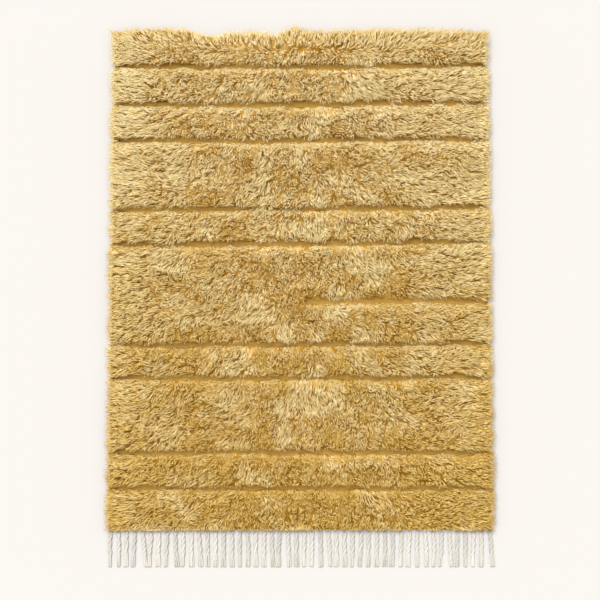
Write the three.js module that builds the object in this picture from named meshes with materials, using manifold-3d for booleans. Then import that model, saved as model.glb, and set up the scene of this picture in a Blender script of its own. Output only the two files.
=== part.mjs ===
// A long-pile wool rug: bands of shaggy pile with flat grooves between them, on a thin
// woven ground, with a fringe of warp tassels at one end.
//
// Millimetres. X runs across the rug and Y along it, with the fringe at -Y, and +Z is up.
// The origin lies on the floor under the middle of the rug.

import * as THREE from "three";
import { mergeVertices } from "three/addons/utils/BufferGeometryUtils.js";
import Module from "manifold-3d";

// Driving dimensions
const RUG_WIDTH = 1700;
const RUG_LENGTH = 2400; // pile and fringe together
const FRINGE_LENGTH = 157; // the part that shows past the pile
const WEAVE_THICKNESS = 4;
const PILE_DEPTH = 40; // above the weave, once the tufts have flopped over
const GROOVE_WIDTH = 18; // bare weave between two bands of pile
const TASSEL_COUNT = 48;
const CLEARANCE = 0.3; // between pieces that touch

// Where the edges of the rug lie
const SIDE = RUG_WIDTH / 2;
const PILE_TOP = RUG_LENGTH / 2;
const FRINGE_END = -RUG_LENGTH / 2;
const PILE_BOTTOM = FRINGE_END + FRINGE_LENGTH;

// The pile flops over the edges of the weave by this much.
const SIDE_OVERHANG = 26;
const TOP_OVERHANG = 26;
const BOTTOM_OVERHANG = 9;

// How far each kind of edge wavers from a straight line, and how much the pile swells.
const SIDE_WAVER = 4;
const TOP_WAVER = 8;
const GROOVE_WAVER = 2.5;
const BOTTOM_WAVER = 1.5;
const WEAVE_WAVER = 2;
const PILE_SWELL = 3;
const LONG_WAVE = 470;
const SHORT_WAVE = 173;

// The shoulder is the rounded rim of a band of pile. Its steps are shares of its width.
const SHOULDER = 30;
const SHOULDER_STEPS = [0, 0.12, 0.42, 1];
const STEP_ACROSS = 90;
const STEP_ALONG = 60;

// Groove centre lines, top of the rug first: height at the left and the right side.
const GROOVES = [
  { left: 1038, right: 1047 },
  { left: 863, right: 875 },
  { left: 700, right: 708 },
  { left: 390, right: 399 },
  { left: 232, right: 243 },
  { left: -219, right: -211 },
  { left: -365, right: -362 },
  { left: -692, right: -692 },
  { left: -847, right: -847 },
];

// The short groove runs only from the middle of the rug to its right side, in one band.
const SHORT_GROOVE = { left: -24, right: -24, startX: 20, taper: 60, band: 6 };

// How round the corners of a band are: at the rug's own corners, and where a groove ends.
const TOP_CORNER = 40;
const BOTTOM_CORNER = 16;
const GROOVE_CORNER = 9;

// Sections along one tassel, from its root in the spine of the fringe to its cut foot.
const SPINE_DEPTH = 12;
const TASSEL_SECTIONS = [
  { along: 0, width: 30, height: 4 },
  { along: 9, width: 25, height: 4 },
  { along: 26, width: 15, height: 9 },
  { along: 70, width: 18, height: 8 },
  { along: 125, width: 19, height: 8 },
  { along: 1, width: 24, height: 6, atFoot: true },
];
const TASSEL_MARGIN = 18; // from the side of the pile to the middle of the first tassel
const TASSEL_SWAY = 3.5; // how far a foot strays to either side
const TASSEL_RAGGED = 5; // how much shorter the shortest tassel is

const PILE_LOOK = { color: 0xc5a35f, roughness: 0.95, metalness: 0 };
const WEAVE_LOOK = { color: 0x9a7a3a, roughness: 0.9, metalness: 0 };
const FRINGE_LOOK = { color: 0xe4ddcd, roughness: 0.9, metalness: 0 };

const wasm = await Module();
wasm.setup();

// A slow uneven wave, from -1 to 1.
function waver(place, phase) {
  const slow = Math.sin((2 * Math.PI * place) / LONG_WAVE + phase);
  const quick = Math.sin((2 * Math.PI * place) / SHORT_WAVE + 2.3 * phase);
  return 0.6 * slow + 0.4 * quick;
}

// A closed geometry from vertices and triangles.
function geometryOf(positions, triangles) {
  return new THREE.BufferGeometry()
    .setAttribute("position", new THREE.Float32BufferAttribute(positions, 3))
    .setIndex(triangles);
}

function solidOf(geometry) {
  const bare = geometry.clone();
  bare.deleteAttribute("normal");
  bare.deleteAttribute("uv");
  const merged = mergeVertices(bare, 1e-3);
  return new wasm.Manifold(
    new wasm.Mesh({
      numProp: 3,
      vertProperties: merged.attributes.position.array,
      triVerts: new Uint32Array(merged.index.array),
    }),
  );
}

function geometryFrom(solid) {
  const mesh = solid.getMesh();
  return geometryOf(mesh.vertProperties, [...mesh.triVerts]);
}

function named(name, geometry, look) {
  geometry.computeVertexNormals();
  const mesh = new THREE.Mesh(geometry, new THREE.MeshStandardMaterial(look));
  mesh.name = name;
  return mesh;
}

// Distances from one edge of a band to the other: close together on the two shoulders,
// evenly spread between them.
function stations(size, step) {
  const flat = size - 2 * SHOULDER;
  const count = Math.max(1, Math.round(flat / step));
  const rim = SHOULDER_STEPS.map((share) => share * SHOULDER);
  const middle = [];
  for (let i = 1; i < count; i++) middle.push(SHOULDER + (flat * i) / count);
  const farRim = rim.map((distance) => size - distance).reverse();
  return [...rim, ...middle, ...farRim];
}

// Height of the pile as a share of its depth, at a distance from the rim.
function roundOver(distance) {
  const inwards = Math.min(1, distance / SHOULDER);
  return Math.sqrt(1 - (1 - inwards) ** 2);
}

// How far a rounded corner pulls an edge back, at a distance from the rug's side.
function cornerPull(distance, radius) {
  if (distance >= radius) return 0;
  return radius - Math.sqrt(radius ** 2 - (radius - distance) ** 2);
}

// One pad of pile. upper and lower give the pad's edges at each x, and the corner radii
// round its four corners. The top is crowned and uneven and the underside is flat.
function pilePad({ upper, lower, upperCorner, lowerCorner, phase }) {
  const across = stations(RUG_WIDTH, STEP_ACROSS);
  const nominal = upper(0) - lower(0);
  const along = stations(nominal, STEP_ALONG);
  const base = WEAVE_THICKNESS + CLEARANCE;
  const points = [];
  for (const v of along) {
    for (const u of across) {
      const toSide = Math.min(u, RUG_WIDTH - u);
      const straightX = u - SIDE;
      const high = upper(straightX) - cornerPull(toSide, upperCorner);
      const low = lower(straightX) + cornerPull(toSide, lowerCorner);
      const y = low + (v / nominal) * (high - low);
      const outwards = Math.max(0, 1 - toSide / STEP_ACROSS) * Math.sign(straightX);
      const x = straightX + outwards * SIDE_WAVER * waver(y, straightX > 0 ? 1 : 4);
      const rim = roundOver(toSide) * roundOver(Math.min(v, nominal - v));
      const swell = PILE_SWELL * waver(x, phase) * waver(y, 2 * phase);
      points.push([x, y, base + rim * (PILE_DEPTH + swell)]);
    }
  }
  return closedPad(points, across.length, along.length);
}

// Closes a grid of points whose border lies in one plane with a flat underside.
function closedPad(points, columns, rows) {
  const triangles = [];
  for (let row = 0; row + 1 < rows; row++) {
    for (let column = 0; column + 1 < columns; column++) {
      const a = row * columns + column;
      const b = a + columns;
      triangles.push(a, a + 1, b + 1, a, b + 1, b);
    }
  }
  const border = [];
  for (let column = 0; column < columns; column++) border.push(column);
  for (let row = 1; row < rows; row++) border.push(row * columns + columns - 1);
  for (let column = columns - 2; column >= 0; column--) {
    border.push((rows - 1) * columns + column);
  }
  for (let row = rows - 2; row > 0; row--) border.push(row * columns);
  const outline = border.map((i) => new THREE.Vector2(points[i][0], points[i][1]));
  for (const [a, b, c] of THREE.ShapeUtils.triangulateShape(outline, [])) {
    triangles.push(border[c], border[b], border[a]);
  }
  return geometryOf(points.flat(), triangles);
}

// The line of a groove at x, which slopes from one side of the rug to the other.
function grooveLine(groove, x) {
  const share = (x + SIDE) / RUG_WIDTH;
  return groove.left + share * (groove.right - groove.left);
}

// The rim of the pile along a groove: side is 1 for the rim above it and -1 below it.
function grooveRim(groove, side, phase) {
  return (x) => grooveLine(groove, x) + side * (GROOVE_WIDTH / 2 + GROOVE_WAVER * waver(x, phase));
}

// The edges and corners of the bands of pile, from the top of the rug down.
function bandOutlines() {
  const topEdge = (x) => PILE_TOP - TOP_WAVER * (0.5 + 0.5 * waver(x, 1));
  const bottomEdge = (x) => PILE_BOTTOM + BOTTOM_WAVER * waver(x, 5);
  const outlines = [];
  for (let i = 0; i <= GROOVES.length; i++) {
    const first = i === 0;
    const last = i === GROOVES.length;
    outlines.push({
      upper: first ? topEdge : grooveRim(GROOVES[i - 1], -1, 2 * i),
      lower: last ? bottomEdge : grooveRim(GROOVES[i], 1, 2 * i + 1),
      upperCorner: first ? TOP_CORNER : GROOVE_CORNER,
      lowerCorner: last ? BOTTOM_CORNER : GROOVE_CORNER,
      phase: i + 1,
    });
  }
  return outlines;
}

// Half the opening of the short groove: it closes, and the two pads it parts then lie
// over each other by a whole shoulder, on the left of its start.
function shortGrooveHalf(x) {
  const open = THREE.MathUtils.smoothstep(
    x,
    SHORT_GROOVE.startX - SHORT_GROOVE.taper,
    SHORT_GROOVE.startX + SHORT_GROOVE.taper,
  );
  return THREE.MathUtils.lerp(-SHOULDER, GROOVE_WIDTH / 2, open);
}

// The band that the short groove enters: two pads, joined where the groove is closed.
function slottedBand(outline) {
  const middle = (x) => grooveLine(SHORT_GROOVE, x);
  const above = pilePad({
    ...outline,
    lower: (x) => middle(x) + shortGrooveHalf(x),
    lowerCorner: GROOVE_CORNER,
  });
  const below = pilePad({
    ...outline,
    upper: (x) => middle(x) - shortGrooveHalf(x),
    upperCorner: GROOVE_CORNER,
  });
  return geometryFrom(solidOf(above).add(solidOf(below)));
}

function pileBands() {
  return bandOutlines().map((outline, i) => {
    const number = i + 1;
    const slotted = number === SHORT_GROOVE.band;
    const geometry = slotted ? slottedBand(outline) : pilePad(outline);
    return named(`pile_band_${String(number).padStart(2, "0")}`, geometry, PILE_LOOK);
  });
}

// The flat woven ground under the pile, with slightly uneven edges.
function groundWeave() {
  const halfWidth = SIDE - SIDE_OVERHANG;
  const top = PILE_TOP - TOP_OVERHANG;
  const bottom = PILE_BOTTOM + BOTTOM_OVERHANG;
  const steps = 20;
  const outline = [];
  const walk = (from, to, phase, place) => {
    for (let i = 0; i < steps; i++) {
      const at = from + ((to - from) * i) / steps;
      const fade = Math.sin((Math.PI * i) / steps);
      outline.push(place(at, fade * WEAVE_WAVER * waver(at, phase)));
    }
  };
  outline.push(new THREE.Vector2(-halfWidth, bottom));
  walk(bottom, top, 1, (y, stray) => new THREE.Vector2(halfWidth + stray, y));
  walk(halfWidth, -halfWidth, 2, (x, stray) => new THREE.Vector2(x, top + stray));
  walk(top, bottom, 3, (y, stray) => new THREE.Vector2(-halfWidth + stray, y));
  const sheet = new THREE.ExtrudeGeometry(new THREE.Shape(outline), {
    depth: WEAVE_THICKNESS,
    bevelEnabled: false,
  });
  return named("ground_weave", sheet, WEAVE_LOOK);
}

// A tassel as a loft of flattened six-sided sections that lie on the floor.
function tassel(rootX, rootY, footX, footY) {
  const points = [];
  for (const section of TASSEL_SECTIONS) {
    const share = section.atFoot ? 1 : section.along / (rootY - footY);
    const x = THREE.MathUtils.lerp(rootX, footX, share);
    const y = THREE.MathUtils.lerp(rootY, footY, share);
    const half = section.width / 2;
    const flat = half * 0.62;
    points.push(
      [x - flat, y, 0],
      [x + flat, y, 0],
      [x + half, y, section.height / 2],
      [x + flat, y, section.height],
      [x - flat, y, section.height],
      [x - half, y, section.height / 2],
    );
  }
  const sides = 6;
  const triangles = [];
  for (let row = 0; row + 1 < TASSEL_SECTIONS.length; row++) {
    for (let i = 0; i < sides; i++) {
      const a = row * sides + i;
      const b = row * sides + ((i + 1) % sides);
      triangles.push(a, b, a + sides, b, b + sides, a + sides);
    }
  }
  const foot = (TASSEL_SECTIONS.length - 1) * sides;
  for (let i = 1; i + 1 < sides; i++) {
    triangles.push(0, i + 1, i, foot, foot + i, foot + i + 1);
  }
  return geometryOf(points.flat(), triangles);
}

// The fringe is one comb: gathered warps along the end of the weave, and the tassels.
function fringe() {
  const weaveEnd = PILE_BOTTOM + BOTTOM_OVERHANG - CLEARANCE;
  const reach = SIDE - TASSEL_MARGIN;
  const pitch = (2 * reach) / (TASSEL_COUNT - 1);
  const spineHalf = SIDE - SIDE_OVERHANG;
  const spine = new THREE.BoxGeometry(2 * spineHalf, SPINE_DEPTH, WEAVE_THICKNESS);
  spine.translate(0, weaveEnd - SPINE_DEPTH / 2, WEAVE_THICKNESS / 2);
  let comb = solidOf(spine);
  for (let i = 0; i < TASSEL_COUNT; i++) {
    const rootX = -reach + i * pitch;
    const footX = rootX + TASSEL_SWAY * waver(97 * i, 1);
    const footY = FRINGE_END + TASSEL_RAGGED * (0.5 + 0.5 * waver(61 * i, 2));
    const one = tassel(rootX, weaveEnd - SPINE_DEPTH / 2, footX, footY);
    comb = comb.add(solidOf(one));
  }
  return named("fringe", geometryFrom(comb), FRINGE_LOOK);
}

const rug = new THREE.Group();
rug.add(groundWeave(), ...pileBands(), fringe());

export default rug;
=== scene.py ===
"""A long-pile wool rug with flat grooves between its bands of pile, and a twisted fringe.

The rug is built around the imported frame, in metres: X runs across it and Y along it, with
the fringe at -Y, and Z is up. Each piece takes the place of one CAD solid.
"""

import logging
import math
from dataclasses import dataclass, field
from enum import Enum

import bpy
import numpy as np
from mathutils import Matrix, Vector


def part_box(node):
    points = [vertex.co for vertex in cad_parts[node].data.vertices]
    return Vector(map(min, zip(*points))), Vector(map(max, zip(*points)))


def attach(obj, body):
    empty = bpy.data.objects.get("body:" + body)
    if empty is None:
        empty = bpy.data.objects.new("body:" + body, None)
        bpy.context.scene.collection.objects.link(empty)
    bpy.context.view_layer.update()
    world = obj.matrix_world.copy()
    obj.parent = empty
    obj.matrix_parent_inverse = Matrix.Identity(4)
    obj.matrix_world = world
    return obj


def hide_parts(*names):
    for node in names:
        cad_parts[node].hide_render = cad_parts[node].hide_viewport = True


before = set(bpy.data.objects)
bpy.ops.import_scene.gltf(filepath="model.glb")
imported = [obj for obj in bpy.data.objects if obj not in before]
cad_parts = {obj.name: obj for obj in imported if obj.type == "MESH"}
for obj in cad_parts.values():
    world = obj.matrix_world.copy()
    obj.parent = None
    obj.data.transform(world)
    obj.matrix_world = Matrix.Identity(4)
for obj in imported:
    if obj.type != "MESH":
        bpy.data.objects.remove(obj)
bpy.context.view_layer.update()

Array = np.ndarray
MM = 0.001
BODY = "root"
WEAVE_NODE = "ground_weave"
FRINGE_NODE = "fringe"
BAND_COUNT = 10
FAR = 9.0
NO_GROOVE_NEAR = 1.0
GROOVE_SEED = 50
SHORT_GROOVE_SEED = 80
ROOT_SEED = 100
STRAND_SEED = 200
FRINGE_SEED = 400

# Where a Mix node of colours has its two colours and its result.
MIX_FIRST = 6
MIX_SECOND = 7
MIX_RESULT = 2

log = logging.getLogger("rug")


class Side(Enum):
    """The side of a groove that a place is on."""

    ABOVE = 1
    BELOW = -1


def linear(hex_colour: str) -> tuple[float, float, float, float]:
    """Turns an sRGB hex colour, such as "#c5a35f", to linear RGBA.

    Args:
        hex_colour: The colour.

    Returns:
        Its red, green, blue and alpha.
    """
    channels = [int(hex_colour[i : i + 2], 16) / 255 for i in (1, 3, 5)]
    bent = [c / 12.92 if c <= 0.04045 else ((c + 0.055) / 1.055) ** 2.4 for c in channels]
    return (*bent, 1.0)


def add_node(
    tree: bpy.types.NodeTree, kind: str, settings: dict | None = None, links: dict | None = None
) -> bpy.types.Node:
    """Adds a shader node.

    Args:
        tree: The node tree that gets it.
        kind: The node's type name.
        settings: Attributes of the node by name, and values of its inputs by name or index.
        links: The output sockets that feed its inputs, by the input's name or index.

    Returns:
        The new node.
    """
    node = tree.nodes.new(kind)
    for key, value in (settings or {}).items():
        if isinstance(key, str) and hasattr(node, key):
            setattr(node, key, value)
        else:
            node.inputs[key].default_value = value
    for key, socket in (links or {}).items():
        tree.links.new(socket, node.inputs[key])
    return node


def new_material(name: str) -> tuple[bpy.types.Material, bpy.types.NodeTree, bpy.types.Node]:
    """Makes a node material.

    Args:
        name: The material's name.

    Returns:
        The material, its node tree and its Principled shader.
    """
    material = bpy.data.materials.new(name)
    material.use_nodes = True
    tree = material.node_tree
    return material, tree, tree.nodes["Principled BSDF"]


def ease(value: Array | float, low: float, high: float) -> Array:
    """Eases from 0 at low to 1 at high."""
    share = np.clip((np.asarray(value, float) - low) / (high - low), 0, 1)
    return share * share * (3 - 2 * share)


def dome(value: Array | float, low: float, high: float, power: float = 2.0) -> Array:
    """Rises steeply from 0 at low and levels off to 1 at high.

    Args:
        value: Where to read it.
        low: Where it starts.
        high: Where it levels off.
        power: How full it is: 2 makes a quarter circle, and less makes it flatter.

    Returns:
        A number from 0 to 1 for each value.
    """
    share = np.clip((np.asarray(value, float) - low) / (high - low), 0, 1)
    return (1 - (1 - share) ** power) ** (power / 4)


def blend(start: Array | float, end: Array | float, share: Array | float) -> Array:
    """Goes from start to end as share goes from 0 to 1."""
    return start + (end - start) * share


def grown(pair: tuple[float, float], share: Array) -> Array:
    """The first number of a pair, and a share of the second on top of it."""
    return pair[0] + pair[1] * share


def weighed(weights: tuple[float, ...], *parts: Array | float) -> Array:
    """Adds up the parts, each times its own weight."""
    return sum(weight * part for weight, part in zip(weights, parts, strict=True))


@dataclass
class Shape:
    """A growing mesh: vertices, faces, and two numbers that the finish reads at each vertex.

    Attributes:
        tone: How pale each vertex is, from 0, deep, to 1, pale: partly how the dye took,
            and partly painted shade and painted sheen.
        lift: How far the vertex stands out to the light, from 0, buried, to 1. The finishes
            paint low lift darker, as painted shade, and high lift paler, as painted light.
    """

    vertices: list[Array] = field(default_factory=list)
    faces: list[Array] = field(default_factory=list)
    tone: list[Array] = field(default_factory=list)
    lift: list[Array] = field(default_factory=list)
    count: int = 0

    def add(self, vertices: Array, faces: list[Array], tone: Array | float, lift: Array | float) -> None:
        """Adds a closed form.

        Args:
            vertices: One row of x, y, z for each vertex, in metres.
            faces: Arrays of the form's own vertex numbers, each one row per face.
            tone: The tone of each vertex, or of all.
            lift: The lift of each vertex, or of all.
        """
        total = len(vertices)
        self.vertices.append(vertices)
        self.faces.extend(f + self.count for f in faces)
        self.tone.append(np.broadcast_to(np.asarray(tone, float), total))
        self.lift.append(np.broadcast_to(np.asarray(lift, float), total))
        self.count += total

    def triangles(self) -> int:
        """The number of triangles that the faces make."""
        return sum(len(f) * (f.shape[1] - 2) for f in self.faces)

    def piece(self, name: str, finish: bpy.types.Material) -> bpy.types.Object:
        """Makes a smooth-shaded object at the origin.

        The tone and the lift go to the finish as attributes. They also lay the faces out on
        the UV map, so that every face lies where its own two numbers put it.

        Args:
            name: The piece's name.
            finish: Its material.

        Returns:
            The new object, linked to the scene.
        """
        vertices = np.concatenate(self.vertices).astype(np.float32)
        corners = np.concatenate([f.ravel() for f in self.faces]).astype(np.int32)
        sizes = np.concatenate([np.full(len(f), f.shape[1]) for f in self.faces])
        starts = np.concatenate([[0], np.cumsum(sizes)[:-1]]).astype(np.int32)
        mesh = bpy.data.meshes.new(name)
        mesh.vertices.add(len(vertices))
        mesh.vertices.foreach_set("co", vertices.ravel())
        mesh.loops.add(len(corners))
        mesh.loops.foreach_set("vertex_index", corners)
        mesh.polygons.add(len(sizes))
        mesh.polygons.foreach_set("loop_start", starts)
        mesh.polygons.foreach_set("use_smooth", np.ones(len(sizes), bool))
        mesh.update(calc_edges=True)
        places = []
        for label, parts in (("tone", self.tone), ("lift", self.lift)):
            values = np.clip(np.concatenate(parts), 0.01, 0.99).astype(np.float32)
            mesh.attributes.new(label, "FLOAT", "POINT").data.foreach_set("value", values)
            places.append(values[corners])
        mesh.uv_layers.new(name="OFBake").data.foreach_set("uv", np.stack(places, 1).ravel())
        mesh.materials.append(finish)
        made = bpy.data.objects.new(name, mesh)
        bpy.context.scene.collection.objects.link(made)
        log.info("%s: %d vertices, %d triangles", name, len(vertices), self.triangles())
        return made


def spun(
    paths: Array, thick: Array, sides: int, turn: Array, flat: float = 1.0
) -> tuple[Array, list[Array]]:
    """Wraps each path in a closed form that comes to a point at both ends.

    Args:
        paths: The strands' points, as strands by points by three numbers.
        thick: The radius at each point between the two ends, as strands by points less two.
        sides: How many sides the strands have.
        turn: How far each strand's sides are turned about it, in radians.
        flat: The section's height as a share of its width.

    Returns:
        The vertices and the faces. Each strand has its first point, its rings and its last.
    """
    count, length, _ = paths.shape
    rings = length - 2
    each = rings * sides + 2
    vertices = np.zeros((count, each, 3))
    vertices[:, 0], vertices[:, -1] = paths[:, 0], paths[:, -1]
    for ring in range(rings):
        ahead = paths[:, ring + 2] - paths[:, ring]
        ahead = ahead / (np.linalg.norm(ahead, axis=1, keepdims=True) + 1e-9)
        across = np.cross(ahead, (0.0, 0.0, 1.0)) + 1e-6
        across = across / np.linalg.norm(across, axis=1, keepdims=True)
        above = np.cross(across, ahead)
        for side in range(sides):
            around = turn + 2 * math.pi * side / sides
            arm = across * np.cos(around)[:, None] + above * (flat * np.sin(around))[:, None]
            vertices[:, 1 + ring * sides + side] = paths[:, ring + 1] + arm * thick[:, ring, None]
    first = each * np.arange(count)[:, None]
    ends, walls = [], []
    for side in range(sides):
        after = (side + 1) % sides
        ends.append(first + np.array([0, 1 + side, 1 + after]))
        last_ring = 1 + (rings - 1) * sides
        ends.append(first + np.array([each - 1, last_ring + after, last_ring + side]))
        for ring in range(rings - 1):
            here, there = 1 + ring * sides, 1 + (ring + 1) * sides
            walls.append(first + np.array([here + after, here + side, there + side, there + after]))
    faces = [np.concatenate(ends)]
    if walls:
        faces.append(np.concatenate(walls))
    return vertices.reshape(-1, 3), faces


def ring_values(at_points: Array, sides: int) -> Array:
    """Spreads one number per path point over the vertices that spun makes.

    Args:
        at_points: The numbers, as strands by points.
        sides: How many sides the strands have.

    Returns:
        One number for each vertex, in the order of spun's vertices.
    """
    middle = np.repeat(at_points[:, 1:-1], sides, axis=1)
    return np.concatenate([at_points[:, :1], middle, at_points[:, -1:]], axis=1).ravel()


@dataclass(eq=False)
class SoftNoise:
    """Smooth noise over the floor plane, from -1 to 1.

    Attributes:
        cell: The size of a patch, in metres.
        seed: Which noise it is.
    """

    cell: float
    seed: int
    size: int = 64

    def __post_init__(self) -> None:
        """Draws the values that the noise runs smoothly between."""
        self.lattice = np.random.default_rng(self.seed).uniform(-1, 1, (self.size, self.size))

    def at(self, x: Array, y: Array | float = 0.0) -> Array:
        """Reads the noise.

        Args:
            x: Places across the rug, in metres.
            y: Places along it.

        Returns:
            One number for each place.
        """
        x, y = np.broadcast_arrays(np.asarray(x, float), y)
        column, row = np.floor(x / self.cell), np.floor(y / self.cell)
        across = ease(x / self.cell - column, 0, 1)
        along = ease(y / self.cell - row, 0, 1)
        i, j = column.astype(int) % self.size, row.astype(int) % self.size
        k, m = (i + 1) % self.size, (j + 1) % self.size
        near = blend(self.lattice[i, j], self.lattice[k, j], across)
        far = blend(self.lattice[i, m], self.lattice[k, m], across)
        return blend(near, far, along)


@dataclass
class Scatter:
    """Unevenly scattered centres over the rug, each with random numbers of its own.

    Attributes:
        spacing: How far the centres lie apart, in metres.
        seed: Which scatter it is.
        traits: How many random numbers, from -1 to 1, each centre has.
        wander: How far a centre strays from its even place, in spacings.
        reach: How far from the middle of the rug the centres go, in metres.
    """

    spacing: float
    seed: int
    traits: int
    wander: float = 0.42
    reach: float = 1.5

    def __post_init__(self) -> None:
        """Draws the centres."""
        self.half = int(self.reach / self.spacing) + 2
        rng = np.random.default_rng(self.seed)
        size = 2 * self.half
        self.offset = rng.uniform(-self.wander, self.wander, (size, size, 2))
        self.trait = rng.uniform(-1, 1, (size, size, self.traits))

    def nearest(self, x: Array, y: Array) -> tuple[Array, Array, Array]:
        """Finds the centre nearest to each place.

        Args:
            x: Places across the rug, in metres.
            y: Places along it.

        Returns:
            The centres' x and y, and their random numbers, a row for each place.
        """
        column = np.floor(x / self.spacing).astype(int) + self.half
        row = np.floor(y / self.spacing).astype(int) + self.half
        best = np.full(len(x), np.inf)
        centre_x, centre_y = np.zeros(len(x)), np.zeros(len(x))
        traits = np.zeros((len(x), self.traits))
        for i in (-1, 0, 1):
            for j in (-1, 0, 1):
                c, r = column + i, row + j
                px = (c - self.half + 0.5 + self.offset[c, r, 0]) * self.spacing
                py = (r - self.half + 0.5 + self.offset[c, r, 1]) * self.spacing
                far = (px - x) ** 2 + (py - y) ** 2
                won = far < best
                best = np.where(won, far, best)
                centre_x, centre_y = np.where(won, px, centre_x), np.where(won, py, centre_y)
                traits = np.where(won[:, None], self.trait[c, r], traits)
        return centre_x, centre_y, traits


@dataclass(frozen=True)
class WoolPile:
    """Long wool pile: thick, softly spun tufts whose ends have opened.

    The fibre is matte with a faint sheen. Wool that lies deep in the pile is painted darker
    and more golden, as painted shade, and the open tips paler, as painted light. No two
    tufts take the dye alike.
    """

    # Painted shade for buried wool (the root pair) and painted light for open wool (the tip pair); tone picks
    # dark or pale dye.
    shaded_root_dark: str = "#7f5714"
    shaded_root_pale: str = "#b88a2e"
    body_dark: str = "#dbb254"
    body_pale: str = "#ffe9a2"
    lit_tip_dark: str = "#e2c270"
    lit_tip_pale: str = "#f0dca8"
    body_lift: tuple[float, float] = (0.04, 0.39)
    tip_lift: tuple[float, float] = (0.36, 0.88)
    roughness: float = 0.95
    specular: float = 0.0
    sheen: float = 0.01
    sheen_roughness: float = 0.5

    def material(self) -> bpy.types.Material:
        """Makes the material, which reads each vertex's tone and lift.

        Returns:
            The material.
        """
        material, tree, shader = new_material("long mustard wool")
        tone = add_node(tree, "ShaderNodeAttribute", {"attribute_name": "tone"}).outputs["Fac"]
        lift = add_node(tree, "ShaderNodeAttribute", {"attribute_name": "lift"}).outputs["Fac"]
        pairs = (
            (self.shaded_root_dark, self.shaded_root_pale),
            (self.body_dark, self.body_pale),
            (self.lit_tip_dark, self.lit_tip_pale),
        )
        depths = []
        for dark, pale in pairs:
            ends = {"data_type": "RGBA", MIX_FIRST: linear(dark), MIX_SECOND: linear(pale)}
            depths.append(add_node(tree, "ShaderNodeMix", ends, {0: tone}).outputs[MIX_RESULT])
        colour, *higher = depths
        # Lift blends from the painted-shade root colours through the body to the painted-light tips.
        for (start, end), above in zip((self.body_lift, self.tip_lift), higher):
            share = add_node(
                tree,
                "ShaderNodeMapRange",
                {"interpolation_type": "SMOOTHSTEP", "From Min": start, "From Max": end},
                {"Value": lift},
            )
            ends = {0: share.outputs[0], MIX_FIRST: colour, MIX_SECOND: above}
            colour = add_node(tree, "ShaderNodeMix", {"data_type": "RGBA"}, ends).outputs[MIX_RESULT]
        tree.links.new(colour, shader.inputs["Base Color"])
        shader.inputs["Roughness"].default_value = self.roughness
        shader.inputs["Specular IOR Level"].default_value = self.specular
        shader.inputs["Sheen Weight"].default_value = self.sheen
        shader.inputs["Sheen Roughness"].default_value = self.sheen_roughness
        shader.inputs["Sheen Tint"].default_value = linear(self.lit_tip_pale)
        return material


@dataclass(frozen=True)
class FlatWeave:
    """Tightly beaten wool weft over hidden warps, darker than the pile and quite flat."""

    dark: str = "#92702c"
    pale: str = "#b08d48"
    thread_mm: float = 3.2
    rib_mm: float = 6.0
    rib_depth_mm: float = 0.6
    rib_strength: float = 0.6
    patch_mm: float = 25.0
    patch_detail: float = 3.0
    cloth_share: float = 0.35
    roughness: float = 0.95
    specular: float = 0.05

    def material(self) -> bpy.types.Material:
        """Makes the material, with weft threads across the rug and the warps as faint ribs.

        Returns:
            The material.
        """
        material, tree, shader = new_material("ochre wool flat weave")
        place = add_node(tree, "ShaderNodeTexCoord").outputs["Object"]
        axes = add_node(tree, "ShaderNodeSeparateXYZ", {}, {0: place})
        waves = []
        for axis, pitch_mm in (("Y", self.thread_mm), ("X", self.rib_mm)):
            per_turn = 2 * math.pi / (pitch_mm * MM)
            turns = add_node(
                tree, "ShaderNodeMath", {"operation": "MULTIPLY", 1: per_turn}, {0: axes.outputs[axis]}
            )
            sine = add_node(tree, "ShaderNodeMath", {"operation": "SINE"}, {0: turns.outputs[0]})
            waves.append(
                add_node(
                    tree,
                    "ShaderNodeMapRange",
                    {"From Min": -1.0, "From Max": 1.0},
                    {"Value": sine.outputs[0]},
                )
            )
        weft, warp = (wave.outputs[0] for wave in waves)
        product = add_node(tree, "ShaderNodeMath", {"operation": "MULTIPLY"}, {0: weft, 1: warp})
        cloth = product.outputs[0]
        patchy = add_node(
            tree,
            "ShaderNodeTexNoise",
            {"Scale": 1 / (self.patch_mm * MM), "Detail": self.patch_detail},
            {"Vector": place},
        )
        tone = add_node(
            tree,
            "ShaderNodeMath",
            {"operation": "MULTIPLY_ADD", 1: self.cloth_share},
            {0: cloth, 2: patchy.outputs[0]},
        )
        colour = add_node(
            tree,
            "ShaderNodeMix",
            {"data_type": "RGBA", MIX_FIRST: linear(self.dark), MIX_SECOND: linear(self.pale)},
            {0: tone.outputs[0]},
        )
        bump = add_node(
            tree,
            "ShaderNodeBump",
            {"Strength": self.rib_strength, "Distance": self.rib_depth_mm * MM},
            {"Height": cloth},
        )
        tree.links.new(colour.outputs[MIX_RESULT], shader.inputs["Base Color"])
        tree.links.new(bump.outputs[0], shader.inputs["Normal"])
        shader.inputs["Roughness"].default_value = self.roughness
        shader.inputs["Specular IOR Level"].default_value = self.specular
        return material


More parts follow.
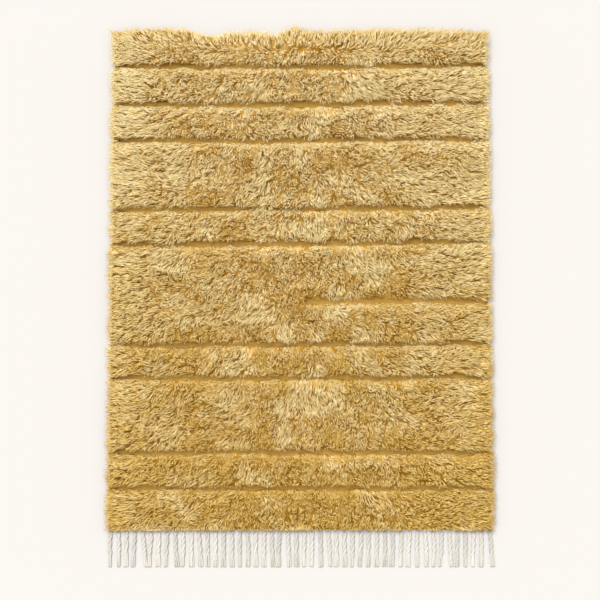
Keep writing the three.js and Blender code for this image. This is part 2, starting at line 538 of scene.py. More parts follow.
@dataclass(frozen=True)
class CottonWarp:
    """Undyed cotton warp yarn, twisted: off-white and matte, with painted shade where the plies meet."""

    shaded_crease_dark: str = "#928e87"
    shaded_crease_pale: str = "#aea9a0"
    lit_ridge_dark: str = "#bcb7ad"
    lit_ridge_pale: str = "#d9d4ca"
    roughness: float = 0.85
    specular: float = 0.2
    sheen: float = 0.1

    def material(self) -> bpy.types.Material:
        """Makes the material, which reads each vertex's tone and lift.

        Returns:
            The material.
        """
        material, tree, shader = new_material("undyed cotton warp")
        tone = add_node(tree, "ShaderNodeAttribute", {"attribute_name": "tone"}).outputs["Fac"]
        lift = add_node(tree, "ShaderNodeAttribute", {"attribute_name": "lift"}).outputs["Fac"]
        depths = []
        for dark, pale in ((self.shaded_crease_dark, self.shaded_crease_pale), (self.lit_ridge_dark, self.lit_ridge_pale)):
            ends = {"data_type": "RGBA", MIX_FIRST: linear(dark), MIX_SECOND: linear(pale)}
            depths.append(add_node(tree, "ShaderNodeMix", ends, {0: tone}).outputs[MIX_RESULT])
        # Lift blends from the painted-shade crease colours to the painted-light ridge colours.
        shaded_crease, lit_ridge = depths
        ends = {0: lift, MIX_FIRST: shaded_crease, MIX_SECOND: lit_ridge}
        colour = add_node(tree, "ShaderNodeMix", {"data_type": "RGBA"}, ends)
        tree.links.new(colour.outputs[MIX_RESULT], shader.inputs["Base Color"])
        shader.inputs["Roughness"].default_value = self.roughness
        shader.inputs["Specular IOR Level"].default_value = self.specular
        shader.inputs["Sheen Weight"].default_value = self.sheen
        return material


@dataclass
class Groove:
    """A flat channel between two stretches of pile.

    Attributes:
        middle: Its centre line at the middle of the rug, in metres.
        rise: How much higher its right end lies than its left end.
        seed: Which wander it has.
        width: How wide it is between the roots.
        starts: Where it begins on the left. It reaches the rug's right side from there.
        bridged: The stretch that stray pile covers, from one x to another.
        rug_width: The width that its rise is measured over.
        ends: Where it starts to close up and where it has, from the middle of the rug.
        wander: How far its line strays from straight, and in its smaller bends.
        uneven: How much its width varies, as a share.
        closed: How far apart its rims pass each other where there is no groove.
        cells: The length of its bends, of its smaller bends and of its swells.
        start_reach: How gradually it opens, to either side of its start.
        bridge_reach: How gradually stray pile covers it, to either side of a bridged end.
        end_cover: How far the pile covers its ends. More than 1 closes them early.
        taken_up: How much of its width full cover takes up.
    """

    middle: float
    rise: float
    seed: int
    width: float = 20 * MM
    starts: float = -FAR
    bridged: tuple[float, float] = (FAR, FAR)
    rug_width: float = 1.7
    ends: tuple[float, float] = (775 * MM, 838 * MM)
    wander: tuple[float, float] = (3.6 * MM, 1.8 * MM)
    uneven: float = 0.38
    closed: float = 60 * MM
    cells: tuple[float, float, float] = (88 * MM, 31 * MM, 52 * MM)
    start_reach: float = 12 * MM
    bridge_reach: float = 25 * MM
    end_cover: float = 1.15
    taken_up: float = 1.05

    def __post_init__(self) -> None:
        """Draws its bends and swells."""
        bend, kink, swell = self.cells
        self.bends = SoftNoise(bend, self.seed)
        self.kinks = SoftNoise(kink, self.seed + 2)
        self.swells = SoftNoise(swell, self.seed + 1)

    def line(self, x: Array) -> Array:
        """The height of its centre line at x."""
        wander = self.wander[0] * self.bends.at(x) + self.wander[1] * self.kinks.at(x)
        return self.middle + self.rise * x / self.rug_width + wander

    def covered(self, x: Array) -> Array:
        """Reads how far stray pile covers it.

        Args:
            x: Places across the rug, in metres.

        Returns:
            A number for each place, from 0, open, to 1 and more, closed.
        """
        low, high = self.bridged
        soft = self.bridge_reach
        inside = ease(x, low - soft, low + soft) * (1 - ease(x, high - soft, high + soft))
        return np.maximum(inside, self.end_cover * ease(np.abs(x), *self.ends))

    def half(self, x: Array) -> Array:
        """Reads half its width.

        Args:
            x: Places across the rug, in metres.

        Returns:
            Half the width at each place, less than 0 where it is closed.
        """
        begun = ease(x, self.starts - self.start_reach, self.starts + self.start_reach)
        open_half = self.width / 2 * (1 + self.uneven * self.swells.at(x))
        return blend(-self.closed, open_half * (1 - self.taken_up * self.covered(x)), begun)


@dataclass(frozen=True)
class EdgeFeature:
    """A dip or a crest in the pile's outline along the top end, in mm."""

    middle: float
    reach: float
    rise: float


TOP_EDGE = (
    EdgeFeature(middle=-403, reach=62, rise=-24),
    EdgeFeature(middle=-118, reach=24, rise=-20),
    EdgeFeature(middle=-22, reach=40, rise=19),
    EdgeFeature(middle=-640, reach=190, rise=15),
    EdgeFeature(middle=430, reach=420, rise=11),
)
GROOVE_RISES_MM = (9.2, 11.5, 7.8, 9.0, 11.3, 7.6, 3.1, 0.0, 0.0)
BRIDGED_GROOVE = 4
BRIDGED_STRETCH = (-215 * MM, 12 * MM)
SHORT_GROOVE_BAND = 6
SHORT_GROOVE_MIDDLE = -24 * MM
SHORT_GROOVE_START = 20 * MM
SHORT_GROOVE_WIDTH = 27 * MM


@dataclass
class RugPlan:
    """Where the grooves and the pile's outline lie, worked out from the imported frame.

    Attributes:
        side_wander: Which way the outline strays at the sides.
        top_wander: Which way it strays along the top end.
        side_stray: How far it strays at the sides.
        top_stray: How far it strays along the top end.
        stray: How far the pile reaches past its CAD solids at the sides.
        nearer_fringe: How much nearer the fringe the grooves lie than in the CAD.
    """

    side_wander: SoftNoise = SoftNoise(48 * MM, 6)
    top_wander: SoftNoise = SoftNoise(34 * MM, 5)
    side_stray: float = 5 * MM
    top_stray: float = 4 * MM
    stray: float = 7 * MM
    nearer_fringe: float = 3 * MM

    def __post_init__(self) -> None:
        """Reads the bands' boxes and puts a groove between each two."""
        boxes = [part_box(f"pile_band_{number:02d}") for number in range(1, BAND_COUNT + 1)]
        self.weave_low, self.weave_high = (np.array(corner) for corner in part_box(WEAVE_NODE))
        self.ground = self.weave_high[2]
        self.half_width = (boxes[0][1][0] - boxes[0][0][0]) / 2
        self.top = boxes[0][1][1]
        self.bottom = boxes[-1][0][1]
        self.grooves = []
        for number, (upper, lower) in enumerate(zip(boxes, boxes[1:]), start=1):
            middle = (upper[0][1] + lower[1][1]) / 2 - self.nearer_fringe
            bridged = BRIDGED_STRETCH if number == BRIDGED_GROOVE else (FAR, FAR)
            rise = GROOVE_RISES_MM[number - 1] * MM
            self.grooves.append(Groove(middle, rise, GROOVE_SEED + 2 * number, bridged=bridged))
        self.short_groove = Groove(
            SHORT_GROOVE_MIDDLE,
            0.0,
            SHORT_GROOVE_SEED,
            width=SHORT_GROOVE_WIDTH,
            starts=SHORT_GROOVE_START,
        )

    def top_edge(self, x: Array) -> Array:
        """The outline of the pile along the top end, with its dips and its crest.

        Args:
            x: Places across the rug, in metres.

        Returns:
            The outline's y at each place.
        """
        edge = self.top + self.top_stray * self.top_wander.at(x)
        for bump in TOP_EDGE:
            edge = edge + bump.rise * MM * np.exp(-(((x - bump.middle * MM) / (bump.reach * MM)) ** 2))
        return edge


@dataclass(frozen=True)
class Rise:
    """How the pile gets higher with the distance from an edge.

    Attributes:
        low: Its height at the edge, in metres or as a share.
        gain: How much higher it gets.
        start: The distance at which it starts to rise.
        end: The distance at which it has risen.
        power: How full a domed rise is, or 0 for one that eases in and out.
    """

    low: float
    gain: float
    start: float
    end: float
    power: float = 0.0

    def at(self, distance: Array) -> Array:
        """Reads the height.

        Args:
            distance: How far from the edge each place is, in metres.

        Returns:
            The height at each place.
        """
        if self.power:
            return self.low + self.gain * dome(distance, self.start, self.end, self.power)
        return self.low + self.gain * ease(distance, self.start, self.end)


CORE_AT_OUTLINE = Rise(low=0.0, gain=1.0, start=12 * MM, end=48 * MM, power=2.0)
CORE_ABOVE_GROOVE = Rise(low=0.0, gain=1.0, start=-2 * MM, end=16 * MM, power=2.0)
CORE_BELOW_GROOVE = Rise(low=0.0, gain=1.0, start=-2 * MM, end=38 * MM)
PILE_AT_OUTLINE = Rise(low=5 * MM, gain=40 * MM, start=-10 * MM, end=68 * MM, power=1.5)
PILE_AT_FRINGE = Rise(low=7 * MM, gain=38 * MM, start=-20 * MM, end=60 * MM)
PILE_ABOVE_GROOVE = Rise(low=13 * MM, gain=34 * MM, start=-8 * MM, end=28 * MM, power=2.0)
PILE_BELOW_GROOVE = Rise(low=7 * MM, gain=39 * MM, start=-14 * MM, end=48 * MM)


@dataclass
class Bed:
    """The bed of one band of pile: its own grooves, its outline and how deep its wool is.

    Attributes:
        plan: The whole rug's plan.
        number: The band's number, 1 at the top.
        core_depth: How deep the dense lower pile is.
        pinch: How far the outline draws in at the end of a groove.
        pinch_reach: How far along the side it does.
        bare: How thick the core is where it has come down to the ground.
        uneven: How much the core's depth varies with the heaps, and with the lumps.
        heaps: Where the wool is heaped up or worn flat.
        lumps: Smaller lumps in it.
    """

    plan: RugPlan
    number: int
    core_depth: float = 19 * MM
    pinch: float = 7 * MM
    pinch_reach: float = 12 * MM
    bare: float = 0.5 * MM
    uneven: tuple[float, float] = (0.40, 0.22)
    heaps: SoftNoise = SoftNoise(78 * MM, 42)
    lumps: SoftNoise = SoftNoise(40 * MM, 41)

    def __post_init__(self) -> None:
        """Finds the grooves beside the band, and the short one inside it."""
        grooves = self.plan.grooves
        self.rims = []
        if self.number > 1:
            self.rims.append((grooves[self.number - 2], Side.BELOW))
        if self.number < BAND_COUNT:
            self.rims.append((grooves[self.number - 1], Side.ABOVE))
        self.inner = [self.plan.short_groove] if self.number == SHORT_GROOVE_BAND else []
        self.low, self.high = (np.array(corner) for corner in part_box(self.node))

    @property
    def node(self) -> str:
        """The name of the CAD solid that the band replaces."""
        return f"pile_band_{self.number:02d}"

    def from_rim(self, x: Array, y: Array, side: Side) -> Array:
        """How far each place is from the rim of the nearest groove that it is on that side of.

        Args:
            x: Places across the rug, in metres.
            y: Places along it.
            side: Whether the places lie above or below the groove.

        Returns:
            The distance in metres, less than 0 over the open groove.
        """
        nearest = np.full(np.shape(x), NO_GROOVE_NEAR)
        for groove, own in self.rims:
            if own is side:
                nearest = np.minimum(nearest, side.value * (y - groove.line(x)) - groove.half(x))
        for groove in self.inner:
            apart = side.value * (y - groove.line(x))
            here = np.where(apart > -groove.width / 2, apart - groove.half(x), NO_GROOVE_NEAR)
            nearest = np.minimum(nearest, here)
        return nearest

    def side_edge(self, x: Array, y: Array) -> Array:
        """Finds the pile's outline at the side that each place is on.

        Args:
            x: Places across the rug, in metres.
            y: Places along it.

        Returns:
            How far the outline lies from the middle of the rug.
        """
        plan = self.plan
        wander = plan.side_wander.at(np.sign(x) * plan.half_width, y)
        edge = plan.half_width + plan.stray + plan.side_stray * wander
        for groove in [*(groove for groove, _ in self.rims), *self.inner]:
            near = np.exp(-(((y - groove.line(x)) / self.pinch_reach) ** 2)) * (x > groove.starts)
            edge = edge - self.pinch * near
        return edge

    def from_outline(self, x: Array, y: Array) -> Array:
        """How far inside the sides and the top end each place is, less than 0 outside."""
        return np.minimum(self.side_edge(x, y) - np.abs(x), self.plan.top_edge(x) - y)

    def inset(self, x: Array, y: Array) -> Array:
        """How far inside the pile's whole outline each place is, less than 0 outside."""
        return np.minimum(self.from_outline(x, y), y - self.plan.bottom)

    def core_height(self, x: Array, y: Array) -> Array:
        """Reads the top of the dense lower pile, which falls to the ground at the rims.

        Args:
            x: Places across the rug, in metres.
            y: Places along it.

        Returns:
            Its height above the floor.
        """
        outer = CORE_AT_OUTLINE.at(self.inset(x, y))
        above = CORE_ABOVE_GROOVE.at(self.from_rim(x, y, Side.ABOVE))
        below = CORE_BELOW_GROOVE.at(self.from_rim(x, y, Side.BELOW))
        rim = np.minimum(outer, np.minimum(above, below))
        uneven = weighed((1, *self.uneven), 1, self.heaps.at(x, y), self.lumps.at(x, y))
        return self.plan.ground + self.bare + self.core_depth * rim * uneven

    def ceiling(self, x: Array, y: Array) -> Array:
        """Reads the height that the strands stay under, low at the outline and the grooves.

        Args:
            x: Places across the rug, in metres.
            y: Places along it.

        Returns:
            The height above the floor.
        """
        heights = [
            PILE_AT_OUTLINE.at(self.from_outline(x, y)),
            PILE_AT_FRINGE.at(y - self.plan.bottom),
            PILE_ABOVE_GROOVE.at(self.from_rim(x, y, Side.ABOVE)),
            PILE_BELOW_GROOVE.at(self.from_rim(x, y, Side.BELOW)),
        ]
        return np.minimum.reduce(heights)


@dataclass
class Lie:
    """How the pile lies at some places.

    Attributes:
        angle: The way it leans over, in radians.
        lean: How far it leans, from 0, upright, to 1, flat.
        calm: How well it is combed, from 0, tousled, to 1.
        loose: How far its locks stand apart, from 0 to 1.
        heap: How far it is heaped up, from 0 to 1.
        tone: How pale the patch is, about -1 to 1, with painted sheen and painted shade in it.
    """

    angle: Array
    lean: Array
    calm: Array
    loose: Array
    heap: Array
    tone: Array


@dataclass
class PileFlow:
    """Which way the pile lies, and how flat.

    It is combed out over the sides, up over the top end and down elsewhere, and is tousled
    towards the middle, where it stands up in heaps between smooth patches. It hangs over the
    groove below each band, and lies along the groove above it.

    Attributes:
        patches: Stretches of pile that lie alike.
        swirl: Broad turns in the lie.
        ripple: Smaller turns in it.
        combed: Where the sides start to be combed outward and where they are, as shares of
            half the width.
        tousled: Where the tousled middle starts to be calmer and where it is, likewise.
        top_reach: Where the top end's lie starts and where it is full, from the end.
        fringe_reach: The same at the fringe.
        hang_reach: Where the pile hangs over the groove below it and where it no longer does.
        settled_reach: Where it is settled along the groove above it and where it no longer is.
        patch_shift: How far the ripple shifts the patches' borders.
        outward: How strongly the pile goes to the sides: everywhere, and where combed.
        along: How strongly it goes along the rug: in the middle, at the top end, over a
            groove and at the fringe.
        bows: The powers that shape its way to the sides and down the middle.
        settled_pull: Its way along the rug where settled, and how far it takes that.
        heaping: How heaps come from the bed's heaps, the ripple and the patch.
        heap_range: Where a heap starts and where it is full.
        heap_fade: How much the heaps lose at the sides, where settled and at the top end.
        smooth_range: Where a smooth patch starts and where it is full.
        calming: How calm the top end, the fringe end, settled and smooth pile are.
        outer_calm: How calm the pile outside the tousled middle is at least.
        patch_calm: How much that differs from patch to patch.
        heap_unrest: How much less calm a heap is.
        unrest: How far the lie turns where tousled, and where calm.
        turning: How the turns come from the patch, the swirl and the ripple.
        lean_range: How far tousled and calm pile lean.
        leaning: How much of that counts, and how a heap and the patch change it.
        loosening: How loose locks are, and more or less by patch, ripple and settled pile.
        paling: How pale the patch, the swirl, smooth, heaped and settled pile and the middle
        are. Smooth pile is painted paler, as painted sheen, and heaps darker, as painted shade.
        slopes: Over how far up and down the slope of a heap and of a lump is read.
        lump_slope: How much a lump's slope counts beside a heap's.
        slope_shade: How much painted shade darkens a slope that faces away from the light, and
        how much less at the sides.
    """

    patches: Scatter = field(default_factory=lambda: Scatter(115 * MM, 11, 4))
    swirl: SoftNoise = SoftNoise(190 * MM, 12)
    ripple: SoftNoise = SoftNoise(60 * MM, 13)
    combed: tuple[float, float] = (0.58, 0.92)
    tousled: tuple[float, float] = (0.15, 0.8)
    top_reach: tuple[float, float] = (120 * MM, 30 * MM)
    fringe_reach: tuple[float, float] = (70 * MM, 10 * MM)
    hang_reach: tuple[float, float] = (8 * MM, 42 * MM)
    settled_reach: tuple[float, float] = (8 * MM, 28 * MM)
    patch_shift: float = 0.03
    outward: tuple[float, float] = (1.15, 0.8)
    along: tuple[float, float, float, float] = (-0.8, 2.4, -0.5, -1.0)
    bows: tuple[float, float] = (0.85, 1.3)
    settled_pull: tuple[float, float] = (-0.55, 0.7)
    heaping: tuple[float, float, float] = (0.75, 0.3, 0.25)
    heap_range: tuple[float, float] = (0.12, 0.55)
    heap_fade: tuple[float, float, float] = (0.7, 0.8, 0.8)
    smooth_range: tuple[float, float] = (0.05, 0.55)
    calming: tuple[float, float, float, float] = (0.8, 0.5, 0.6, 0.75)
    outer_calm: float = 0.45
    patch_calm: float = 0.12
    heap_unrest: float = 0.7
    unrest: tuple[float, float] = (1.1, 0.18)
    turning: tuple[float, float, float] = (0.5, 0.7, 0.5)
    lean_range: tuple[float, float] = (0.46, 0.94)
    leaning: tuple[float, float, float] = (1.0, -0.22, 0.08)
    loosening: tuple[float, float, float, float] = (0.5, 0.3, 0.25, -0.25)
    paling: tuple[float, ...] = (0.3, 0.35, 0.75, -1.0, -0.3, 0.35)
    slopes: tuple[float, float] = (14 * MM, 8 * MM)
    lump_slope: float = 0.6
    slope_shade: tuple[float, float] = (1.1, -0.7)

    def edges(self, bed: Bed, x: Array, y: Array) -> tuple[Array, Array, Array, Array, Array]:
        """Reads how strongly each edge near a place shapes the lie there.

        Args:
            bed: The band's bed.
            x: Places across the rug, in metres.
            y: Places along it.

        Returns:
            Five numbers from 0 to 1 for each place: the sides, the top end, the fringe end,
            the hang over the groove below and the settled pile along the groove above.
        """
        plan = bed.plan
        sides = ease(np.abs(x / plan.half_width), *self.combed)
        top_end = ease(y, *(plan.top - reach for reach in self.top_reach))
        fringe_end = ease(-y, *(-plan.bottom - reach for reach in self.fringe_reach))
        hang = 1 - ease(bed.from_rim(x, y, Side.ABOVE), *self.hang_reach)
        settled = 1 - ease(bed.from_rim(x, y, Side.BELOW), *self.settled_reach)
        return sides, top_end, fringe_end, hang, settled * (1 - top_end)

    def slope(self, bed: Bed, x: Array, y: Array) -> Array:
        """Reads how steeply the bed rises away from the fringe, about -1 to 1.

        Args:
            bed: The band's bed.
            x: Places across the rug, in metres.
            y: Places along it.

        Returns:
            The slope at each place.
        """
        heap, lump = (
            noise.at(x, y + step) - noise.at(x, y - step)
            for noise, step in zip((bed.heaps, bed.lumps), self.slopes)
        )
        return heap + self.lump_slope * lump

    def at(self, bed: Bed, x: Array, y: Array) -> Lie:
        """Reads the lie of the pile.

        Args:
            bed: The band's bed.
            x: Places across the rug, in metres.
            y: Places along it.

        Returns:
            How the pile lies at each place.
        """
        u = x / bed.plan.half_width
        ripple, eddy = self.ripple.at(x, y), self.ripple.at(y, x)
        sides, top_end, fringe_end, hang, settled = self.edges(bed, x, y)

        bow_out, bow_down = self.bows
        go_x = weighed(self.outward, np.sign(u) * np.abs(u) ** bow_out, sides * np.sign(u))
        go_y = weighed(self.along, 1 - np.abs(u) ** bow_down, top_end, hang, fringe_end)
        settled_way, settled_share = self.settled_pull
        go_y = blend(go_y, settled_way, settled_share * settled)

        shifted = x + self.patch_shift * ripple, y + self.patch_shift * eddy
        _, _, patch = self.patches.nearest(*shifted)
        heaped = weighed(self.heaping, bed.heaps.at(x, y), eddy, patch[:, 2])
        heap = ease(heaped, *self.heap_range)
        for fade, part in zip(self.heap_fade, (sides, settled, top_end)):
            heap = heap * (1 - fade * part)
        smooth = ease(-heaped, *self.smooth_range)
        middle = 1 - ease(np.abs(u), *self.tousled)
        calmed = zip(self.calming, (top_end, fringe_end, settled, smooth))
        calm = np.maximum.reduce([sides, *(share * part for share, part in calmed)])
        calm = np.maximum(calm, self.outer_calm * (1 - middle)) + self.patch_calm * patch[:, 3]
        calm = np.clip(calm, 0, 1) * (1 - self.heap_unrest * heap)
        turn = blend(*self.unrest, calm) * weighed(self.turning, patch[:, 0], self.swirl.at(x, y), ripple)
        lean = weighed(self.leaning, blend(*self.lean_range, calm), heap, patch[:, 1])
        loose = np.clip(weighed(self.loosening, 1, patch[:, 2], ripple, settled), 0, 1)
        # Painted sheen pales smooth pile; painted shade darkens heaps and slopes that face away from the
        # light.
        tone = weighed(self.paling, patch[:, 3], self.swirl.at(y, x), smooth, heap, settled, 1 - sides)
        shade = np.clip(self.slope(bed, x, y), -0.5, 1)
        tone = tone - grown(self.slope_shade, sides) * shade
        return Lie(np.arctan2(go_y, go_x) + turn, np.clip(lean, 0.25, 1.0), calm, loose, heap, tone)


@dataclass
class Canopy:
    """How high the pile stands over each small square of the floor, to tell what lies buried.

    Attributes:
        points: The strands' points, as strands by points by three numbers.
        cell: The size of a square.
        reach: How far from the middle of the rug the squares go.
        passes: How often each height is evened out with the squares around it, for the canopy
            close by and for the one farther around.
        depths: How far below each canopy wool is quite buried, and painted darkest as painted
        shade.
        weights: How much each canopy counts.
    """

    points: Array
    cell: float = 5 * MM
    reach: float = 1.35
    passes: tuple[int, int] = (2, 14)
    depths: tuple[float, float] = (11 * MM, 20 * MM)
    weights: tuple[float, float] = (0.6, 0.4)

    def __post_init__(self) -> None:
        """Takes the highest strand over each square, and evens out the heights."""
        between = (self.points[:, 1:] + self.points[:, :-1]) / 2
        x, y, z = np.concatenate([self.points, between], axis=1).reshape(-1, 3).T
        size = int(2 * self.reach / self.cell)
        heights = np.zeros((size, size))
        np.maximum.at(heights, self.square(x, y), z)
        self.layers = []
        for passes in self.passes:
            for _ in range(passes):
                around = [np.roll(heights, step, axis) for step in (-1, 1) for axis in (0, 1)]
                heights = (2 * heights + sum(around)) / 6
            self.layers.append(heights)

    def square(self, x: Array, y: Array) -> tuple[Array, Array]:
        """Finds the column and row of the square that each place lies in."""
        return ((x + self.reach) / self.cell).astype(int), ((y + self.reach) / self.cell).astype(int)

    def open_at(self, x: Array, y: Array, z: Array) -> Array:
        """Tells how open places are to the light.

        Args:
            x: The places across the rug, in metres.
            y: The places along it.
            z: Their heights above the floor.

        Returns:
            A number for each place, from 0, quite buried, to 1, on top of the pile.
        """
        square = self.square(x, y)
        opened = (
            np.clip(1 - (layer[square] - z) / depth, 0, 1) for layer, depth in zip(self.layers, self.depths)
        )
        return weighed(self.weights, *opened)


@dataclass(frozen=True)
class StrandHabit:
    """How strands differ with their lock, with their tuft and one by one.

    A pair holds a value for combed pile, and how much more it is where the pile is tousled.

    Attributes:
        astray: How many strands go their own way, as a share.
        astray_turn: How far those turn away, in radians.
        lock_turn: How far a lock turns, as a pair.
        tuft_turn: How far a tuft turns, as a pair.
        own_turn: How far a strand turns: combed, and more where tousled and where settled.
        lean: How much the lean differs by lock, by tuft and by strand.
        least_lean: How far a strand leans at least.
        length: How much the length differs by lock, by tuft and by strand, as shares.
        shorter: How much shorter strands are where tousled, and where settled.
        lock_curve: How far a lock curves, as a pair.
        own_curve: How far a strand curves on its own.
        wave: How wavy a tuft is, and a strand on its own.
        to_tuft: How far strands gather to their tuft, and how that changes where tousled,
            near the outline and where settled.
        astray_to_tuft: The same for a strand that goes its own way.
        to_lock: How far tufts gather to their lock, and how much farther where locks are loose.
        settled_to_lock: How much less they do where settled.
        tone: How pale a strand is on average, and more with its patch and its tuft.
        lock_tone: How much paler a lock can be, as a pair.
        own_tone: How much paler a strand can be on its own, as a pair.
        top_tone: How much paler the pile gets from the middle of the rug to its top end.
        rim_tone: How much darker it is near the outline.
        sunlit_tone: How much darker it is along the top end, which faces the light.
    """

    astray: float = 0.04
    astray_turn: float = 0.9
    lock_turn: tuple[float, float] = (0.14, 0.65)
    tuft_turn: tuple[float, float] = (0.08, 0.5)
    own_turn: tuple[float, float, float] = (0.07, 0.2, 0.3)
    lean: tuple[float, float, float] = (0.10, 0.06, 0.05)
    least_lean: float = 0.2
    length: tuple[float, float, float] = (0.13, 0.09, 0.08)
    shorter: tuple[float, float] = (0.32, 0.4)
    lock_curve: tuple[float, float] = (0.25, 0.7)
    own_curve: float = 0.22
    wave: tuple[float, float] = (0.9, 0.4)
    to_tuft: tuple[float, float, float, float] = (0.30, 0.16, -0.16, -0.1)
    astray_to_tuft: float = 0.1
    to_lock: tuple[float, float] = (0.14, 0.32)
    settled_to_lock: float = 0.6
    tone: tuple[float, float, float] = (0.53, 0.36, 0.10)
    lock_tone: tuple[float, float] = (0.12, 0.14)
    own_tone: tuple[float, float] = (0.08, 0.10)
    top_tone: float = 0.65
    rim_tone: float = 0.15
    sunlit_tone: float = 0.75


@dataclass(frozen=True)
class Overhang:
    """How far strands may reach over an edge, in mm.

    Attributes:
        fray: From how far inside to how far outside the outline they end.
        long_share: How many of them are longer, as a share.
        long: How much longer those are.
        trim: How unevenly the pile ends at the fringe.
        droop: How far it hangs over a groove, on average.
        uneven: How much that differs by place, by tuft and by strand.
        droop_share: How many strands hang farther, as a share.
        droop_long: How much farther those hang.
        cover: How much farther they hang where stray pile covers the groove.
        tuck: How the reach of the pile below a groove differs by place, its mean and how it
            differs by strand.
        least: How much of its way a strand keeps at least, as a share.
    """

    fray: tuple[float, float] = (-18, 12)
    long_share: float = 0.03
    long: float = 6
    trim: float = 1.8
    droop: float = 15
    uneven: tuple[float, float, float] = (16, 10, 2)
    droop_share: float = 0.04
    droop_long: float = 9
    cover: float = 14
    tuck: tuple[float, float, float] = (8, -2, 2)
    least: float = 0.12


@dataclass
class ShagStrands:
    """The strands of the pile, gathered into tufts and the tufts into locks.

    Each strand is a thin closed spindle that rises out of a dense lower pile, the core. The
    fine ones between the others have fewer points.

    Attributes:
        flow: Which way the pile lies.
        spacing: How far apart the roots are.
        rim_spacing: How far apart the added roots below a groove are.
        rim_width: How far below a groove they go.
        length: How long a strand is.
        radius: How thick a strand is, and a fine one.
        fine_share: How many of them are fine ones, as a share.
        sides: How many sides a strand has.
        flat: The height of its section as a share of the width.
        shading: How much lighter its upper side and darker its underside are painted, as
        painted light and shade.
        margin: How far inside the outline the roots stay.
        shares: How far along a strand its points after the root lie, as shares of its length.
        tufts: The small gatherings of strands.
        locks: The larger gatherings of tufts.
        droop: How far the pile hangs over a groove in one place and the next.
        teeth: The same for its single tufts.
        habit: How strands differ.
        overhang: How far they may reach over an edge.
        settled_reach: Where strands below a groove are settled and where they no longer are.
        rimmed_reach: Where strands are near the outline and where they no longer are.
        root_depth: How deep in the core they start.
        crown: How much a lock's middle stands up.
        crown_reach: How far from its middle that ends.
        crown_least: How much of it a tight lock has.
        layers: How much higher than others a lock, a tuft and a heap can lie.
        sideways: How much less strands gather along their way than across it.
        reaches: How far an upright and a flopped strand go, as shares of their length.
        reach_power: How that grows along the strand.
        rises: How high they rise, as shares of their length.
        bend: How far a curved strand bends aside, as a share of its reach.
        waviness: How far a wavy one does.
        wave_turn: How quickly it waves.
        tip_stray: How much a strand's tip strays up or down.
        give: How much the height that strands stay under varies, in mm.
        least_heights: How high above the floor each point after the root stays.
        springy: How much of its height a pressed strand keeps.
        edge_reach: How far inside the outline tips count as near the edge.
        sizes: How thin and how thick a strand can be, as shares of its radius.
        edge_thin: How much thinner it is near the edge.
        point_tone: How much the tone strays from point to point.
        lifting: How much the place along a strand and the place in the pile lift it. Low lift
        is painted darker, as painted shade.
        calm_lift: The lift of calm pile: at the root, more at the tip, and how far it counts.
        heap_sink: How much a heap's wool is less lifted, for painted shade in the heaps.
        edge_sink: How much less lifted wool near the edge is, for painted shade there.
        taper: How much of its radius a thick strand has at its two inner points.
    """

    flow: PileFlow
    spacing: float = 5.95 * MM
    rim_spacing: float = 3.9 * MM
    rim_width: float = 12 * MM
    length: float = 50 * MM
    radius: tuple[float, float] = (1.4 * MM, 1.15 * MM)
    fine_share: float = 0.8
    sides: int = 3
    flat: float = 0.85
    shading: float = 0.17
    margin: float = 16 * MM
    shares: tuple[float, float, float] = (0.40, 0.78, 1.0)
    tufts: Scatter = field(default_factory=lambda: Scatter(10.5 * MM, 31, 5))
    locks: Scatter = field(default_factory=lambda: Scatter(29 * MM, 21, 6))
    droop: SoftNoise = SoftNoise(27 * MM, 43)
    teeth: SoftNoise = SoftNoise(12 * MM, 44)
    habit: StrandHabit = StrandHabit()
    overhang: Overhang = Overhang()
    spare: float = 25 * MM
    rim_clear: float = 0.5 * MM
    settled_reach: tuple[float, float] = (2 * MM, 26 * MM)
    rimmed_reach: tuple[float, float] = (20 * MM, 75 * MM)
    root_depth: float = 4 * MM
    crown: float = 7 * MM
    crown_reach: float = 19 * MM
    crown_least: float = 0.4
    layers: tuple[float, float, float] = (3.2 * MM, 1.4 * MM, 4 * MM)
    sideways: float = 0.6
    reaches: tuple[float, float] = (0.16, 0.94)
    reach_power: float = 1.1
    rises: tuple[float, float] = (0.80, 0.30)
    bend: float = 0.32
    waviness: float = 2.6 * MM
    wave_turn: float = 5
    tip_stray: float = 1.5 * MM
    give: float = 2.5
    least_heights: tuple[float, float, float] = (3 * MM, 3 * MM, 1.5 * MM)
    springy: float = 0.2
    edge_reach: float = 40 * MM
    sizes: tuple[float, float] = (0.75, 1.3)
    edge_thin: float = 0.12
    point_tone: float = 0.05
    lifting: tuple[float, float] = (0.25, 0.75)
    calm_lift: tuple[float, float, float] = (0.25, 0.5, 0.2)
    heap_sink: float = 0.12
    edge_sink: float = 0.3
    taper: tuple[float, float] = (1.0, 0.92)

    def honeycomb(self, bed: Bed, spacing: float, rng: np.random.Generator) -> tuple[Array, Array]:
        """Scatters places over one band in a jittered honeycomb.

        Args:
            bed: The band's bed.
            spacing: How far apart the places are, in metres.
            rng: Where the random numbers come from.

        Returns:
            The places' x and y.
        """
        step_y = spacing * math.sqrt(3) / 2
        half = bed.plan.half_width
        rows = int((bed.high[1] - bed.low[1] + 2 * self.spare) / step_y)
        row, column = np.meshgrid(np.arange(rows), np.arange(int(2 * half / spacing)), indexing="ij")
        x = (-half + (column + 0.5 * (row % 2)) * spacing).ravel()
        y = (bed.low[1] - self.spare + row * step_y).ravel()
        return x + rng.uniform(-0.5, 0.5, len(x)) * spacing, y + rng.uniform(-0.5, 0.5, len(y)) * step_y

